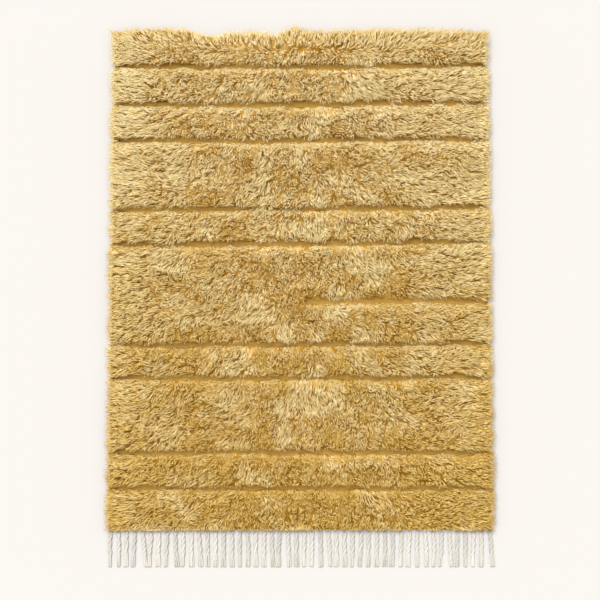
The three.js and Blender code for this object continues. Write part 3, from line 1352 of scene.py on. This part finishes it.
    def roots(self, bed: Bed) -> tuple[Array, Array]:
        """Scatters the roots of one band clear of the grooves, and closer below each groove.

        Args:
            bed: The band's bed.

        Returns:
            The roots' x and y.
        """
        rng = np.random.default_rng(ROOT_SEED + bed.number)
        x, y = self.honeycomb(bed, self.spacing, rng)
        more_x, more_y = self.honeycomb(bed, self.rim_spacing, rng)
        beside = bed.from_rim(more_x, more_y, Side.BELOW) < self.rim_width
        x, y = np.append(x, more_x[beside]), np.append(y, more_y[beside])
        clear = np.minimum(bed.from_rim(x, y, Side.ABOVE), bed.from_rim(x, y, Side.BELOW))
        kept = (clear > self.rim_clear) & (bed.inset(x, y) > self.margin)
        return x[kept], y[kept]

    def paths(self, bed: Bed, x: Array, y: Array, rng: np.random.Generator) -> tuple[Array, Array, Lie]:
        """Works out each strand's four points.

        Args:
            bed: The band's bed.
            x: The roots' places across the rug, in metres.
            y: The roots' places along it.
            rng: Where the random numbers come from.

        Returns:
            The points, as strands by four by three numbers, the strands' tones and how the
            pile lies at each of them.
        """
        count = len(x)
        habit = self.habit
        lock_x, lock_y, lock = self.locks.nearest(x, y)
        tuft_x, tuft_y, tuft = self.tufts.nearest(x, y)
        lie = self.flow.at(bed, tuft_x, tuft_y)
        wild = 1 - lie.calm
        stray = rng.random(count) < habit.astray
        angle = lie.angle + grown(habit.lock_turn, wild) * lock[:, 0]
        angle = angle + grown(habit.tuft_turn, wild) * tuft[:, 0]
        settled = 1 - ease(bed.from_rim(x, y, Side.BELOW), *self.settled_reach)
        own_turn = np.where(stray, habit.astray_turn, weighed(habit.own_turn, 1, wild, settled))
        angle = angle + rng.normal(0, 1, count) * own_turn
        lean = lie.lean + habit.lean[0] * lock[:, 1] + habit.lean[1] * tuft[:, 1]
        lean = np.clip(lean + rng.normal(0, habit.lean[2], count), habit.least_lean, 1)
        longer = 1 + habit.length[0] * lock[:, 2] + habit.length[1] * tuft[:, 2]
        length = self.length * (longer + rng.normal(0, habit.length[2], count))
        rimmed = 1 - ease(bed.from_outline(x, y), *self.rimmed_reach)
        length = length * (1 - habit.shorter[0] * wild) * (1 - habit.shorter[1] * settled)
        curve = grown(habit.lock_curve, wild) * lock[:, 3] + rng.normal(0, habit.own_curve, count)
        wave = habit.wave[0] * tuft[:, 3] + rng.normal(0, habit.wave[1], count)
        to_tuft = weighed(habit.to_tuft, 1, wild, rimmed, settled)
        to_tuft = np.where(stray, habit.astray_to_tuft, to_tuft)
        to_lock = grown(habit.to_lock, lie.loose) * (1 - habit.settled_to_lock * settled)
        to_lock = np.where(stray, 0.0, to_lock)

        go = np.stack([np.cos(angle), np.sin(angle)], 1)
        side = np.stack([-go[:, 1], go[:, 0]], 1)
        root = np.stack([x, y], 1)
        tuft_place = np.stack([tuft_x, tuft_y], 1)
        from_tuft = root - tuft_place
        from_lock = tuft_place - np.stack([lock_x, lock_y], 1)
        out = (from_lock**2).sum(1) / self.crown_reach**2
        crown = self.crown * (1 - out) * (self.crown_least + lie.loose)
        layer = weighed(self.layers, lock[:, 4], tuft[:, 4], lie.heap)
        gather = to_tuft[:, None] * from_tuft + to_lock[:, None] * from_lock
        gather = gather - self.sideways * go * (gather * go).sum(1, keepdims=True)
        reach = length * blend(*self.reaches, lean)

        points = np.zeros((count, 4, 3))
        points[:, 0, :2] = root
        points[:, 0, 2] = base = bed.core_height(x, y) - self.root_depth
        upright, flopped = self.rises
        for i, along in enumerate(self.shares, start=1):
            aside = self.bend * reach * along**2 * curve
            aside = aside + self.waviness * math.sin(self.wave_turn * along) * wave
            ahead = go * (reach * along**self.reach_power)[:, None]
            rise = length * blend(upright * along, flopped * (1 - (1 - along) ** 2), lean)
            points[:, i, :2] = root + ahead + side * aside[:, None] - gather * along
            points[:, i, 2] = base + rise + (crown + layer) * min(1.0, 2 * along)
        points[:, 3, 2] += rng.normal(0, self.tip_stray, count)
        self.hold_back(bed, points, rng)
        self.press_down(bed, points, rng)

        usual, by_patch, by_tuft = habit.tone
        tone = usual + by_patch * lie.tone + grown(habit.lock_tone, wild) * lock[:, 5] + by_tuft * tuft[:, 1]
        tone = tone + rng.normal(0, 1, count) * grown(habit.own_tone, wild)
        sunlit = 1 - ease(bed.plan.top_edge(x) - y, *self.rimmed_reach)
        tone = tone + habit.top_tone * y / bed.plan.top - habit.rim_tone * rimmed - habit.sunlit_tone * sunlit
        return points, tone, lie

    def hold_back(self, bed: Bed, points: Array, rng: np.random.Generator) -> None:
        """Shortens the strands that would reach past the outline or too far over a groove.

        Args:
            bed: The band's bed.
            points: The strands' points, which are changed.
            rng: Where the random numbers come from.
        """
        plan = bed.plan
        over_edge = self.overhang
        count = len(points)
        (root_x, root_y), (tip_x, tip_y) = points[:, 0, :2].T, points[:, 3, :2].T
        fray = rng.uniform(*over_edge.fray, count) * MM
        fray = fray + (rng.random(count) < over_edge.long_share) * over_edge.long * MM
        trimmed = plan.bottom + np.abs(rng.normal(0, over_edge.trim, count)) * MM
        limits = [
            (
                bed.side_edge(tip_x, tip_y) + fray - np.abs(root_x),
                np.sign(root_x) * tip_x - np.abs(root_x),
            ),
            (plan.top_edge(tip_x) + fray - root_y, tip_y - root_y),
            (root_y - trimmed, root_y - tip_y),
        ]
        by_place, by_tuft, by_strand = over_edge.uneven
        uneven = by_place * self.droop.at(root_x, root_y) + by_tuft * self.teeth.at(root_x, root_y)
        droop = over_edge.droop + uneven + rng.normal(0, by_strand, count)
        droop = (droop + (rng.random(count) < over_edge.droop_share) * over_edge.droop_long) * MM
        by_place, usual, by_strand = over_edge.tuck
        tuck = (by_place * self.droop.at(root_y, root_x) + rng.normal(usual, by_strand, count)) * MM
        sides = [(groove, np.full(count, own.value)) for groove, own in bed.rims]
        sides += [(groove, np.where(root_y > groove.line(root_x), 1, -1)) for groove in bed.inner]
        for groove, way in sides:
            start = way * (root_y - groove.line(root_x))
            over = np.where(way > 0, droop + over_edge.cover * MM * groove.covered(root_x), tuck)
            least = groove.half(tip_x) - over
            limits.append((start - least, start - way * (tip_y - groove.line(tip_x))))
        share = np.ones(count)
        for room, wanted in limits:
            part = np.clip(room / np.maximum(wanted, 1e-6), over_edge.least, 1)
            share = np.where(wanted > np.maximum(room, 0), np.minimum(share, part), share)
        for i in (1, 2, 3):
            points[:, i, :2] = blend(points[:, 0, :2], points[:, i, :2], share[:, None])

    def press_down(self, bed: Bed, points: Array, rng: np.random.Generator) -> None:
        """Lays the strands down under the ceiling, and keeps them off the floor.

        Args:
            bed: The band's bed.
            points: The strands' points, which are changed.
            rng: Where the random numbers come from.
        """
        give = rng.uniform(-self.give, self.give, len(points)) * MM
        for i, least in enumerate(self.least_heights, start=1):
            x, y, z = points[:, i].T
            top = bed.ceiling(x, y) + give
            pressed = np.where(z > top, top + self.springy * (z - top), z)
            points[:, i, 2] = np.maximum(pressed, least)

    def add_to(self, shape: Shape, bed: Bed) -> int:
        """Adds one band's strands.

        Args:
            shape: The mesh that gets them.
            bed: The band's bed.

        Returns:
            How many strands there are.
        """
        rng = np.random.default_rng(STRAND_SEED + bed.number)
        x, y = self.roots(bed)
        count = len(x)
        points, tone, lie = self.paths(bed, x, y, rng)
        turn = rng.uniform(0, 2 * math.pi, count)
        at_edge = 1 - ease(bed.from_outline(points[:, 3, 0], points[:, 3, 1]), 0, self.edge_reach)
        size = rng.uniform(*self.sizes, (count, 1)) * (1 - self.edge_thin * at_edge[:, None])
        tones = tone[:, None] + rng.normal(0, self.point_tone, (count, 4))
        along = np.array([0.0, *self.shares])
        # Painted shade: lift falls with how buried each point is, so wool deep in the pile and between tufts
        # is coloured darker.
        lifts = weighed(self.lifting, along, Canopy(points).open_at(*np.moveaxis(points, 2, 0)))
        at_root, more_at_tip, calm_share = self.calm_lift
        lifts = blend(lifts, at_root + more_at_tip * along, calm_share * lie.calm[:, None])
        lifts = lifts - self.heap_sink * lie.heap[:, None]
        lifts = lifts * (1 - self.edge_sink * at_edge[:, None])
        fine = rng.random(count) < self.fine_share
        thick, thin = self.radius
        whole = (points, tones, lifts)
        self.spin(shape, whole, thick * size * self.taper, turn, ~fine)
        slight = tuple(np.stack([v[:, 0], (v[:, 1] + v[:, 2]) / 2, v[:, 3]], 1) for v in whole)
        self.spin(shape, slight, thin * size, turn, fine)
        return count

    def spin(
        self, shape: Shape, strands: tuple[Array, Array, Array], thick: Array, turn: Array, chosen: Array
    ) -> None:
        """Adds the chosen strands as closed forms.

        Args:
            shape: The mesh that gets them.
            strands: The points, the tones and the lifts of all the strands.
            thick: Their radius at each point between the two ends.
            turn: How far their sides are turned, in radians.
            chosen: Which of them to add.
        """
        points, tones, lifts = (values[chosen] for values in strands)
        vertices, faces = spun(points, thick[chosen], self.sides, turn[chosen], self.flat)
        # Painted light and shade: each strand's upper side is made paler and its underside darker.
        around = turn[chosen, None] + 2 * math.pi * np.arange(self.sides) / self.sides
        upper = np.pad(np.tile(np.sin(around), points.shape[1] - 2), ((0, 0), (1, 1)))
        lit = ring_values(lifts, self.sides) + self.shading * upper.ravel()
        shape.add(vertices, faces, ring_values(tones, self.sides), lit)


@dataclass
class PileBand:
    """One band of shaggy pile: a dense low core, and the strands that rise from it.

    Attributes:
        bed: The band's bed.
        strands: What its strands are like.
        finish: The material.
        core_cell: How finely the core is divided.
        core_rows: Into how many rows at least.
        core_tone: How pale the core is, more where mottled, and more at the rim below a groove,
            as painted light where that rim faces the light.
        core_lift: How lifted it is, and more where mottled. It is low, so that the core is
            painted in the shade colours.
        core_inset: How far inside the CAD solid its sides stay.
        core_ends: How far inside the pile it ends at the fringe, and at the top end.
        core_sunk: How deep it sits in the weave, and its top below the strands' bed.
        least_core: How thick it is at least.
        lit_rim_reach: How far from a groove the rim below it reaches, which is painted paler as
        painted light.
        mottle: Where the core is paler.
    """

    bed: Bed
    strands: ShagStrands
    finish: bpy.types.Material
    core_cell: float = 15 * MM
    core_rows: int = 6
    core_tone: tuple[float, float, float] = (0.25, 0.2, 0.15)
    core_lift: tuple[float, float] = (0.12, 0.1)
    core_inset: float = 13 * MM
    core_ends: tuple[float, float] = (6 * MM, 12 * MM)
    core_sunk: float = 2 * MM
    least_core: float = 1 * MM
    lit_rim_reach: tuple[float, float] = (6 * MM, 32 * MM)
    mottle: SoftNoise = SoftNoise(19 * MM, 45)

    def rims(self, x: Array) -> tuple[Array, Array]:
        """Finds the core's lower and upper rim.

        Args:
            x: Places across the rug, in metres.

        Returns:
            The y of the lower and of the upper rim at each place.
        """
        plan = self.bed.plan
        at_fringe, at_top = self.core_ends
        ends = {
            Side.ABOVE: np.full_like(x, plan.bottom + at_fringe),
            Side.BELOW: plan.top_edge(x) - at_top,
        }
        for groove, own in self.bed.rims:
            ends[own] = groove.line(x) + own.value * np.maximum(groove.half(x), 0)
        return ends[Side.ABOVE], ends[Side.BELOW]

    def core(self) -> tuple[Array, list[Array]]:
        """Makes the core's closed surface: an uneven top over a flat underside.

        Returns:
            Vertices, and faces by their number of corners.
        """
        bed = self.bed
        half = bed.plan.half_width - self.core_inset
        columns = int(2 * half / self.core_cell)
        rows = max(self.core_rows, int((bed.high[1] - bed.low[1]) / self.core_cell))
        x, share = np.meshgrid(np.linspace(-half, half, columns), np.linspace(0, 1, rows))
        low, high = self.rims(x)
        y = blend(low, high, share)
        base = bed.plan.ground - self.core_sunk
        top = np.maximum(bed.core_height(x, y) - self.core_sunk, base + self.least_core)
        upper = np.stack([x, y, top], 2).reshape(-1, 3)
        grid = np.arange(rows * columns).reshape(rows, columns)
        rim = np.concatenate([grid[0, :-1], grid[:-1, -1], grid[-1, :0:-1], grid[:0:-1, 0]])
        under = rows * columns + np.arange(len(rim))
        lower = upper[rim] * (1, 1, 0) + (0, 0, base)
        sheet = np.stack([grid[:-1, :-1], grid[:-1, 1:], grid[1:, 1:], grid[1:, :-1]], 2).reshape(-1, 4)
        wall = np.stack([rim, under, np.roll(under, -1), np.roll(rim, -1)], 1)
        return np.concatenate([upper, lower]), [sheet, wall, under[None, ::-1]]

    def build(self) -> bpy.types.Object:
        """Makes the band and lets it stand for its CAD solid.

        Returns:
            The band's piece.
        """
        shape = Shape()
        vertices, faces = self.core()
        x, y = vertices[:, 0], vertices[:, 1]
        mottle = self.mottle.at(x, y)
        # Painted light on the rim below a groove, which faces the light; the low lift paints the rest of the
        # core as shade.
        rim = 1 - ease(self.bed.from_rim(x, y, Side.BELOW), *self.lit_rim_reach)
        tone = weighed(self.core_tone, 1, mottle, rim)
        shape.add(vertices, faces, tone, grown(self.core_lift, mottle))
        count = self.strands.add_to(shape, self.bed)
        piece = shape.piece(f"shag_band_{self.bed.number:02d}", self.finish)
        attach(piece, BODY)
        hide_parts(self.bed.node)
        log.info("%s has %d strands", piece.name, count)
        return piece


@dataclass
class GroundWeave:
    """The flat woven ground that the pile is knotted into, seen in the grooves.

    Attributes:
        plan: The whole rug's plan.
        finish: The material.
        cell: How finely the sheet is divided.
        narrower: How much narrower than its CAD solid it is at each side, and more or less.
        selvedge: Where it is.
    """

    plan: RugPlan
    finish: bpy.types.Material
    cell: float = 45 * MM
    narrower: tuple[float, float] = (2 * MM, 2 * MM)
    selvedge: SoftNoise = SoftNoise(160 * MM, 61)

    def build(self) -> bpy.types.Object:
        """Makes the sheet from a grid, with hand-woven, slightly wandering sides.

        Returns:
            The sheet.
        """
        low, high = self.plan.weave_low, self.plan.weave_high
        size = high - low
        bpy.ops.object.select_all(action="DESELECT")
        bpy.ops.mesh.primitive_grid_add(
            x_subdivisions=int(size[0] / self.cell), y_subdivisions=int(size[1] / self.cell), size=1
        )
        piece = bpy.context.object
        piece.name = "woven_ground"
        spots = np.empty(3 * len(piece.data.vertices), np.float32)
        piece.data.vertices.foreach_get("co", spots)
        spots = spots.reshape(-1, 3)
        y = low[1] + (spots[:, 1] + 0.5) * size[1]
        narrower = grown(self.narrower, self.selvedge.at(np.sign(spots[:, 0]), y))
        spots[:, 0] = spots[:, 0] * (size[0] - 2 * narrower) + (low[0] + high[0]) / 2
        spots[:, 1] = y
        spots[:, 2] = high[2]
        piece.data.vertices.foreach_set("co", spots.ravel())
        cloth = piece.modifiers.new("cloth", "SOLIDIFY")
        cloth.thickness = size[2]
        cloth.offset = -1
        bpy.ops.object.modifier_apply(modifier=cloth.name)
        piece.data.materials.append(self.finish)
        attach(piece, BODY)
        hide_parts(WEAVE_NODE)
        log.info("%s: %d faces", piece.name, len(piece.data.polygons))
        return piece


# Lift along the warps and the cut ends: painted shade where the warps leave the weave under the pile, painted
# light towards the ends.
WARP_LIFTS = (0.15, 0.2, 0.4, 0.6, 0.7)
END_LIFTS = (0.6, 0.7, 0.85, 1.0, 1.0)


@dataclass
class Tassel:
    """One tassel of the fringe: warps that come together in a V, two plies and cut ends.

    Attributes:
        x: Where it leaves the weave, across the rug.
        start: The y of its upper end.
        length: How long it is.
        rng: Where its random numbers come from.
        ply_radius: How thick a ply is.
        twist_radius: How far from the tassel's middle the plies run.
        yarn_radius: How thick a single yarn is.
        warps: How many warps come together at the top.
        yarns: How many cut ends there are.
        rings: How many points a ply has.
        sides: How many sides a ply and a yarn have.
        flats: The height of their sections as a share of the width.
        gathered: How far down it the warps have come together, as a share of its length.
        opened: How far down it the plies have come apart again.
        middle_height: How high its middle lies.
        strays: How far its end drifts and its middle sways, in one tassel and the next.
        pitches: How long a turn of the twist is, in mm.
        tones: How dark and how pale it can be.
        spreads: How far apart the warps leave the weave, in mm.
        swing: How much higher and lower the plies run as they twist.
        ply_top: How high they leave the weave.
        ply_lift: Their lift, painted light and shade: usual, more on top of the twist and more
            towards the end.
        top_lift: Their lift where they leave the weave, low for painted shade under the pile.
        ply_tone: How much the tone strays from ply to ply.
        yarn_tone: How much it strays from yarn to yarn.
        warp_heights: How high the warps lie, in mm.
        warp_place: How far the outer warps lie from the middle, as a share of the spread.
        splays: How far the cut ends spread, in mm.
        end_height: How high they lie.
        end_heights: How much that varies, in mm.
        cut: How unevenly they are cut, as a share of the length.
    """

    x: float
    start: float
    length: float
    rng: np.random.Generator
    ply_radius: float = 5.2 * MM
    twist_radius: float = 4.6 * MM
    yarn_radius: float = 2.0 * MM
    warps: int = 4
    yarns: int = 7
    rings: int = 26
    sides: tuple[int, int] = (7, 5)
    flats: tuple[float, float] = (0.62, 0.85)
    gathered: float = 0.15
    opened: float = 0.64
    middle_height: float = 5.6 * MM
    strays: tuple[float, float] = (5 * MM, 1.2 * MM)
    pitches: tuple[float, float] = (48, 80)
    tones: tuple[float, float] = (0.2, 0.8)
    spreads: tuple[float, float] = (7, 13)
    swing: float = 0.9 * MM
    ply_top: float = 4 * MM
    ply_lift: tuple[float, float, float] = (0.38, 0.12, 0.4)
    top_lift: float = 0.2
    ply_tone: float = 0.1
    yarn_tone: float = 0.12
    warp_heights: tuple[float, float] = (3.0, 4.4)
    warp_place: float = 0.8
    splays: tuple[float, float] = (6.5, 10.5)
    end_height: float = 3.2 * MM
    end_heights: tuple[float, float] = (-0.6, 1.6)
    cut: float = 0.014

    def __post_init__(self) -> None:
        """Draws how it lies, how tightly it is twisted and how pale it is."""
        rng = self.rng
        self.drift, self.sway = (rng.normal(0, stray) for stray in self.strays)
        self.phase = rng.uniform(0, 2 * math.pi)
        self.pitch = rng.uniform(*self.pitches) * MM
        self.tone = rng.uniform(*self.tones)
        self.spread = rng.uniform(*self.spreads) * MM

    def centre(self, share: Array) -> Array:
        """Where its middle lies across the rug, a share of its length from the top."""
        return self.x + self.drift * np.abs(share) ** 1.3 + self.sway * np.sin(5 * share + self.phase)

    def add_plies(self, shape: Shape) -> None:
        """Adds the two plies, which leave the weave apart and twist around each other.

        Args:
            shape: The mesh that gets them.
        """
        sides, flat = self.sides[0], self.flats[0]
        share = np.linspace(-0.02, self.opened + 0.18, self.rings)
        y = self.start - self.length * share
        apart = 1 - ease(share, 0.0, self.gathered)
        slack = ease(share, self.opened - 0.1, self.opened + 0.15)
        turn = self.phase + 2 * math.pi * self.length * share / self.pitch
        turn = turn + 0.8 * np.sin(7 * share + 3 * self.phase)
        for ply, way in ((0, -1), (1, 1)):
            at = turn + math.pi * ply
            x = self.centre(share) + blend(self.twist_radius * np.cos(at), way * self.spread, apart)
            z = blend(self.middle_height + self.swing * np.sin(at), self.ply_top, apart)
            thick = self.ply_radius * self.rng.uniform(0.9, 1.1) * (1 + 0.08 * np.sin(3 * at))
            thick = thick * (1 - 0.5 * apart) * (1 - 0.6 * slack)
            path = np.stack([x, y, z], 1)[None]
            vertices, faces = spun(path, thick[None, 1:-1], sides, np.zeros(1), flat)
            # Painted light on top of the twist, and painted shade under it and where the plies leave the
            # weave.
            lift = blend(weighed(self.ply_lift, 1, np.sin(at), share), self.top_lift, apart)
            tone = self.tone + self.rng.normal(0, self.ply_tone)
            shape.add(vertices, faces, tone, ring_values(lift[None], sides))

    def warp_paths(self) -> list[Array]:
        """Works out the warps above the twist.

        Returns:
            The points of each, as points by three numbers.
        """
        share = np.array([-0.04, 0.0, 0.07, self.gathered, self.gathered + 0.07])
        paths = []
        for place in np.linspace(-self.warp_place, self.warp_place, self.warps):
            apart = self.spread * place * (1 - ease(share, 0, self.gathered + 0.05))
            rise = 1.0 * MM * ease(share, 0, self.gathered)
            z = self.rng.uniform(*self.warp_heights) * MM + rise
            paths.append(np.stack([self.centre(share) + apart, self.start - self.length * share, z], 1))
        return paths

    def end_paths(self) -> list[Array]:
        """Works out the cut ends below the twist.

        Returns:
            The points of each, as points by three numbers.
        """
        rng = self.rng
        share = np.array([self.opened - 0.08, self.opened + 0.04, 0.86, 0.975, 1.0])
        splay = rng.uniform(*self.splays) * MM
        paths = []
        for place in np.linspace(-1, 1, self.yarns):
            aside = (splay * place + rng.normal(0, 1.0 * MM)) * ease(share, self.opened - 0.45, 1.0)
            z = blend(self.middle_height, self.end_height, ease(share, self.opened, 1))
            z = z + rng.uniform(*self.end_heights) * MM
            cut = share * (1 - abs(rng.normal(0, self.cut)))
            paths.append(np.stack([self.centre(cut) + aside, self.start - self.length * cut, z], 1))
        return paths

    def add_yarns(self, shape: Shape) -> None:
        """Adds the single yarns: the warps above the twist and the cut ends below it.

        Args:
            shape: The mesh that gets them.
        """
        rng = self.rng
        sides, flat = self.sides[1], self.flats[1]
        paths = np.stack([*self.warp_paths(), *self.end_paths()])
        count = len(paths)
        thick = self.yarn_radius * rng.uniform(0.8, 1.2, (count, 1)) * np.array([[1.0, 1.0, 1.05]])
        vertices, faces = spun(paths, thick, sides, rng.uniform(0, 6, count), flat)
        tones = np.repeat((self.tone + rng.normal(0, self.yarn_tone, count))[:, None], paths.shape[1], axis=1)
        lifts = np.repeat([WARP_LIFTS, END_LIFTS], [self.warps, self.yarns], axis=0)
        shape.add(vertices, faces, ring_values(tones, sides), ring_values(lifts, sides))


@dataclass
class Fringe:
    """The warp ends past the last row of pile, gathered and twisted in pairs.

    Attributes:
        plan: The whole rug's plan.
        finish: The material.
        tassels: How many tassels there are.
        first: Where the first one leaves the weave, across the rug.
        last: Where the last one leaves it.
        hidden: How far inside the weave's end the tassels start.
        edge_points: How many points the cord along the weave's end has.
        edge_radius: How thick that cord is.
        edge_sides: How many sides it has.
        edge_inset: How far inside the weave's sides it ends, and how high it lies.
        edge_shift: How far from the tassels' start it lies.
    """

    plan: RugPlan
    finish: bpy.types.Material
    tassels: int = 48
    first: float = -832 * MM
    last: float = 834 * MM
    hidden: float = 4 * MM
    edge_points: int = 60
    edge_radius: float = 2.4 * MM
    edge_sides: int = 8
    edge_inset: float = 3 * MM
    edge_shift: float = 1 * MM

    def build(self) -> bpy.types.Object:
        """Makes the fringe and lets it stand for its CAD solid.

        Returns:
            The fringe's piece.
        """
        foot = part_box(FRINGE_NODE)[0][1]
        start = self.plan.weave_low[1] - self.hidden
        shape = Shape()
        left = self.plan.weave_low[0] + self.edge_inset
        right = self.plan.weave_high[0] - self.edge_inset
        x = np.linspace(left, right, self.edge_points)
        edge = np.stack([x, np.full_like(x, start + self.edge_shift), np.full_like(x, self.edge_inset)], 1)
        thick = np.full((1, self.edge_points - 2), self.edge_radius)
        shape.add(*spun(edge[None], thick, self.edge_sides, np.zeros(1)), 0.5, 0.5)
        rng = np.random.default_rng(FRINGE_SEED)
        for x in np.linspace(self.first, self.last, self.tassels):
            tassel = Tassel(x, start, start - foot, rng)
            tassel.add_plies(shape)
            tassel.add_yarns(shape)
        piece = shape.piece("twisted_fringe", self.finish)
        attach(piece, BODY)
        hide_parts(FRINGE_NODE)
        return piece


@dataclass
class Studio:
    """A plain pale floor, soft even light and the camera above the rug."""

    floor_half: float = 40.0
    floor_colour: str = "#c3c0bc"
    sun_strength: float = 3.56
    sun_colour: tuple[float, float, float] = (0.89, 0.925, 1.0)
    sun_softness: float = 38.0
    sun_from: tuple[float, float, float] = (-0.4, 1.0, 1.4)
    fill: float = 0.998
    fill_colour: str = "#fffaf0"
    camera_distance: float = 5.014
    camera_elevation: float = 85.72
    camera_lens: float = 67.34
    camera_sensor: float = 36.0
    camera_target: tuple[float, float, float] = (0.0, -0.0232, 0.0)

    def build(self) -> None:
        """Sets up the floor, the light and the camera."""
        self.floor()
        self.light()
        self.camera()
        bpy.context.scene.view_settings.view_transform = "Standard"

    def floor(self) -> None:
        """Lays a large plain floor."""
        bpy.ops.object.select_all(action="DESELECT")
        bpy.ops.mesh.primitive_plane_add(size=2 * self.floor_half)
        floor = bpy.context.object
        floor.name = "floor"
        material, _, shader = new_material("pale matte floor")
        shader.inputs["Base Color"].default_value = linear(self.floor_colour)
        shader.inputs["Roughness"].default_value = 1.0
        shader.inputs["Specular IOR Level"].default_value = 0.0
        floor.data.materials.append(material)

    def light(self) -> None:
        """Adds one broad light from beyond the top of the rug, and an even fill."""
        sun = bpy.data.lights.new("broad_light", "SUN")
        sun.energy = self.sun_strength
        sun.color = self.sun_colour
        sun.angle = math.radians(self.sun_softness)
        lamp = bpy.data.objects.new("broad_light", sun)
        lamp.rotation_euler = Vector(self.sun_from).to_track_quat("Z", "Y").to_euler()
        bpy.context.scene.collection.objects.link(lamp)
        world = bpy.data.worlds.new("soft room")
        world.use_nodes = True
        background = world.node_tree.nodes["Background"]
        background.inputs["Color"].default_value = linear(self.fill_colour)
        background.inputs["Strength"].default_value = self.fill
        bpy.context.scene.world = world

    def camera(self) -> None:
        """Places the camera at the photograph's viewing angle."""
        target = Vector(self.camera_target)
        rise = math.radians(self.camera_elevation)
        away = Vector((0, -math.cos(rise), math.sin(rise)))
        lens = bpy.data.cameras.new("camera")
        lens.lens = self.camera_lens
        lens.sensor_width = self.camera_sensor
        camera = bpy.data.objects.new("camera", lens)
        camera.location = target + away * self.camera_distance
        camera.rotation_euler = (-away).to_track_quat("-Z", "Y").to_euler()
        bpy.context.scene.collection.objects.link(camera)
        bpy.context.scene.camera = camera


def main() -> None:
    """Builds the rug piece by piece, and the studio around it."""
    logging.basicConfig(level=logging.INFO, format="%(name)s: %(message)s")
    Studio().build()
    plan = RugPlan()
    wool = WoolPile().material()
    strands = ShagStrands(PileFlow())
    weave = GroundWeave(plan, FlatWeave().material()).build()
    bands = [PileBand(Bed(plan, number), strands, wool).build() for number in range(1, BAND_COUNT + 1)]
    fringe = Fringe(plan, CottonWarp().material()).build()


if __name__ == "__main__":
    main()
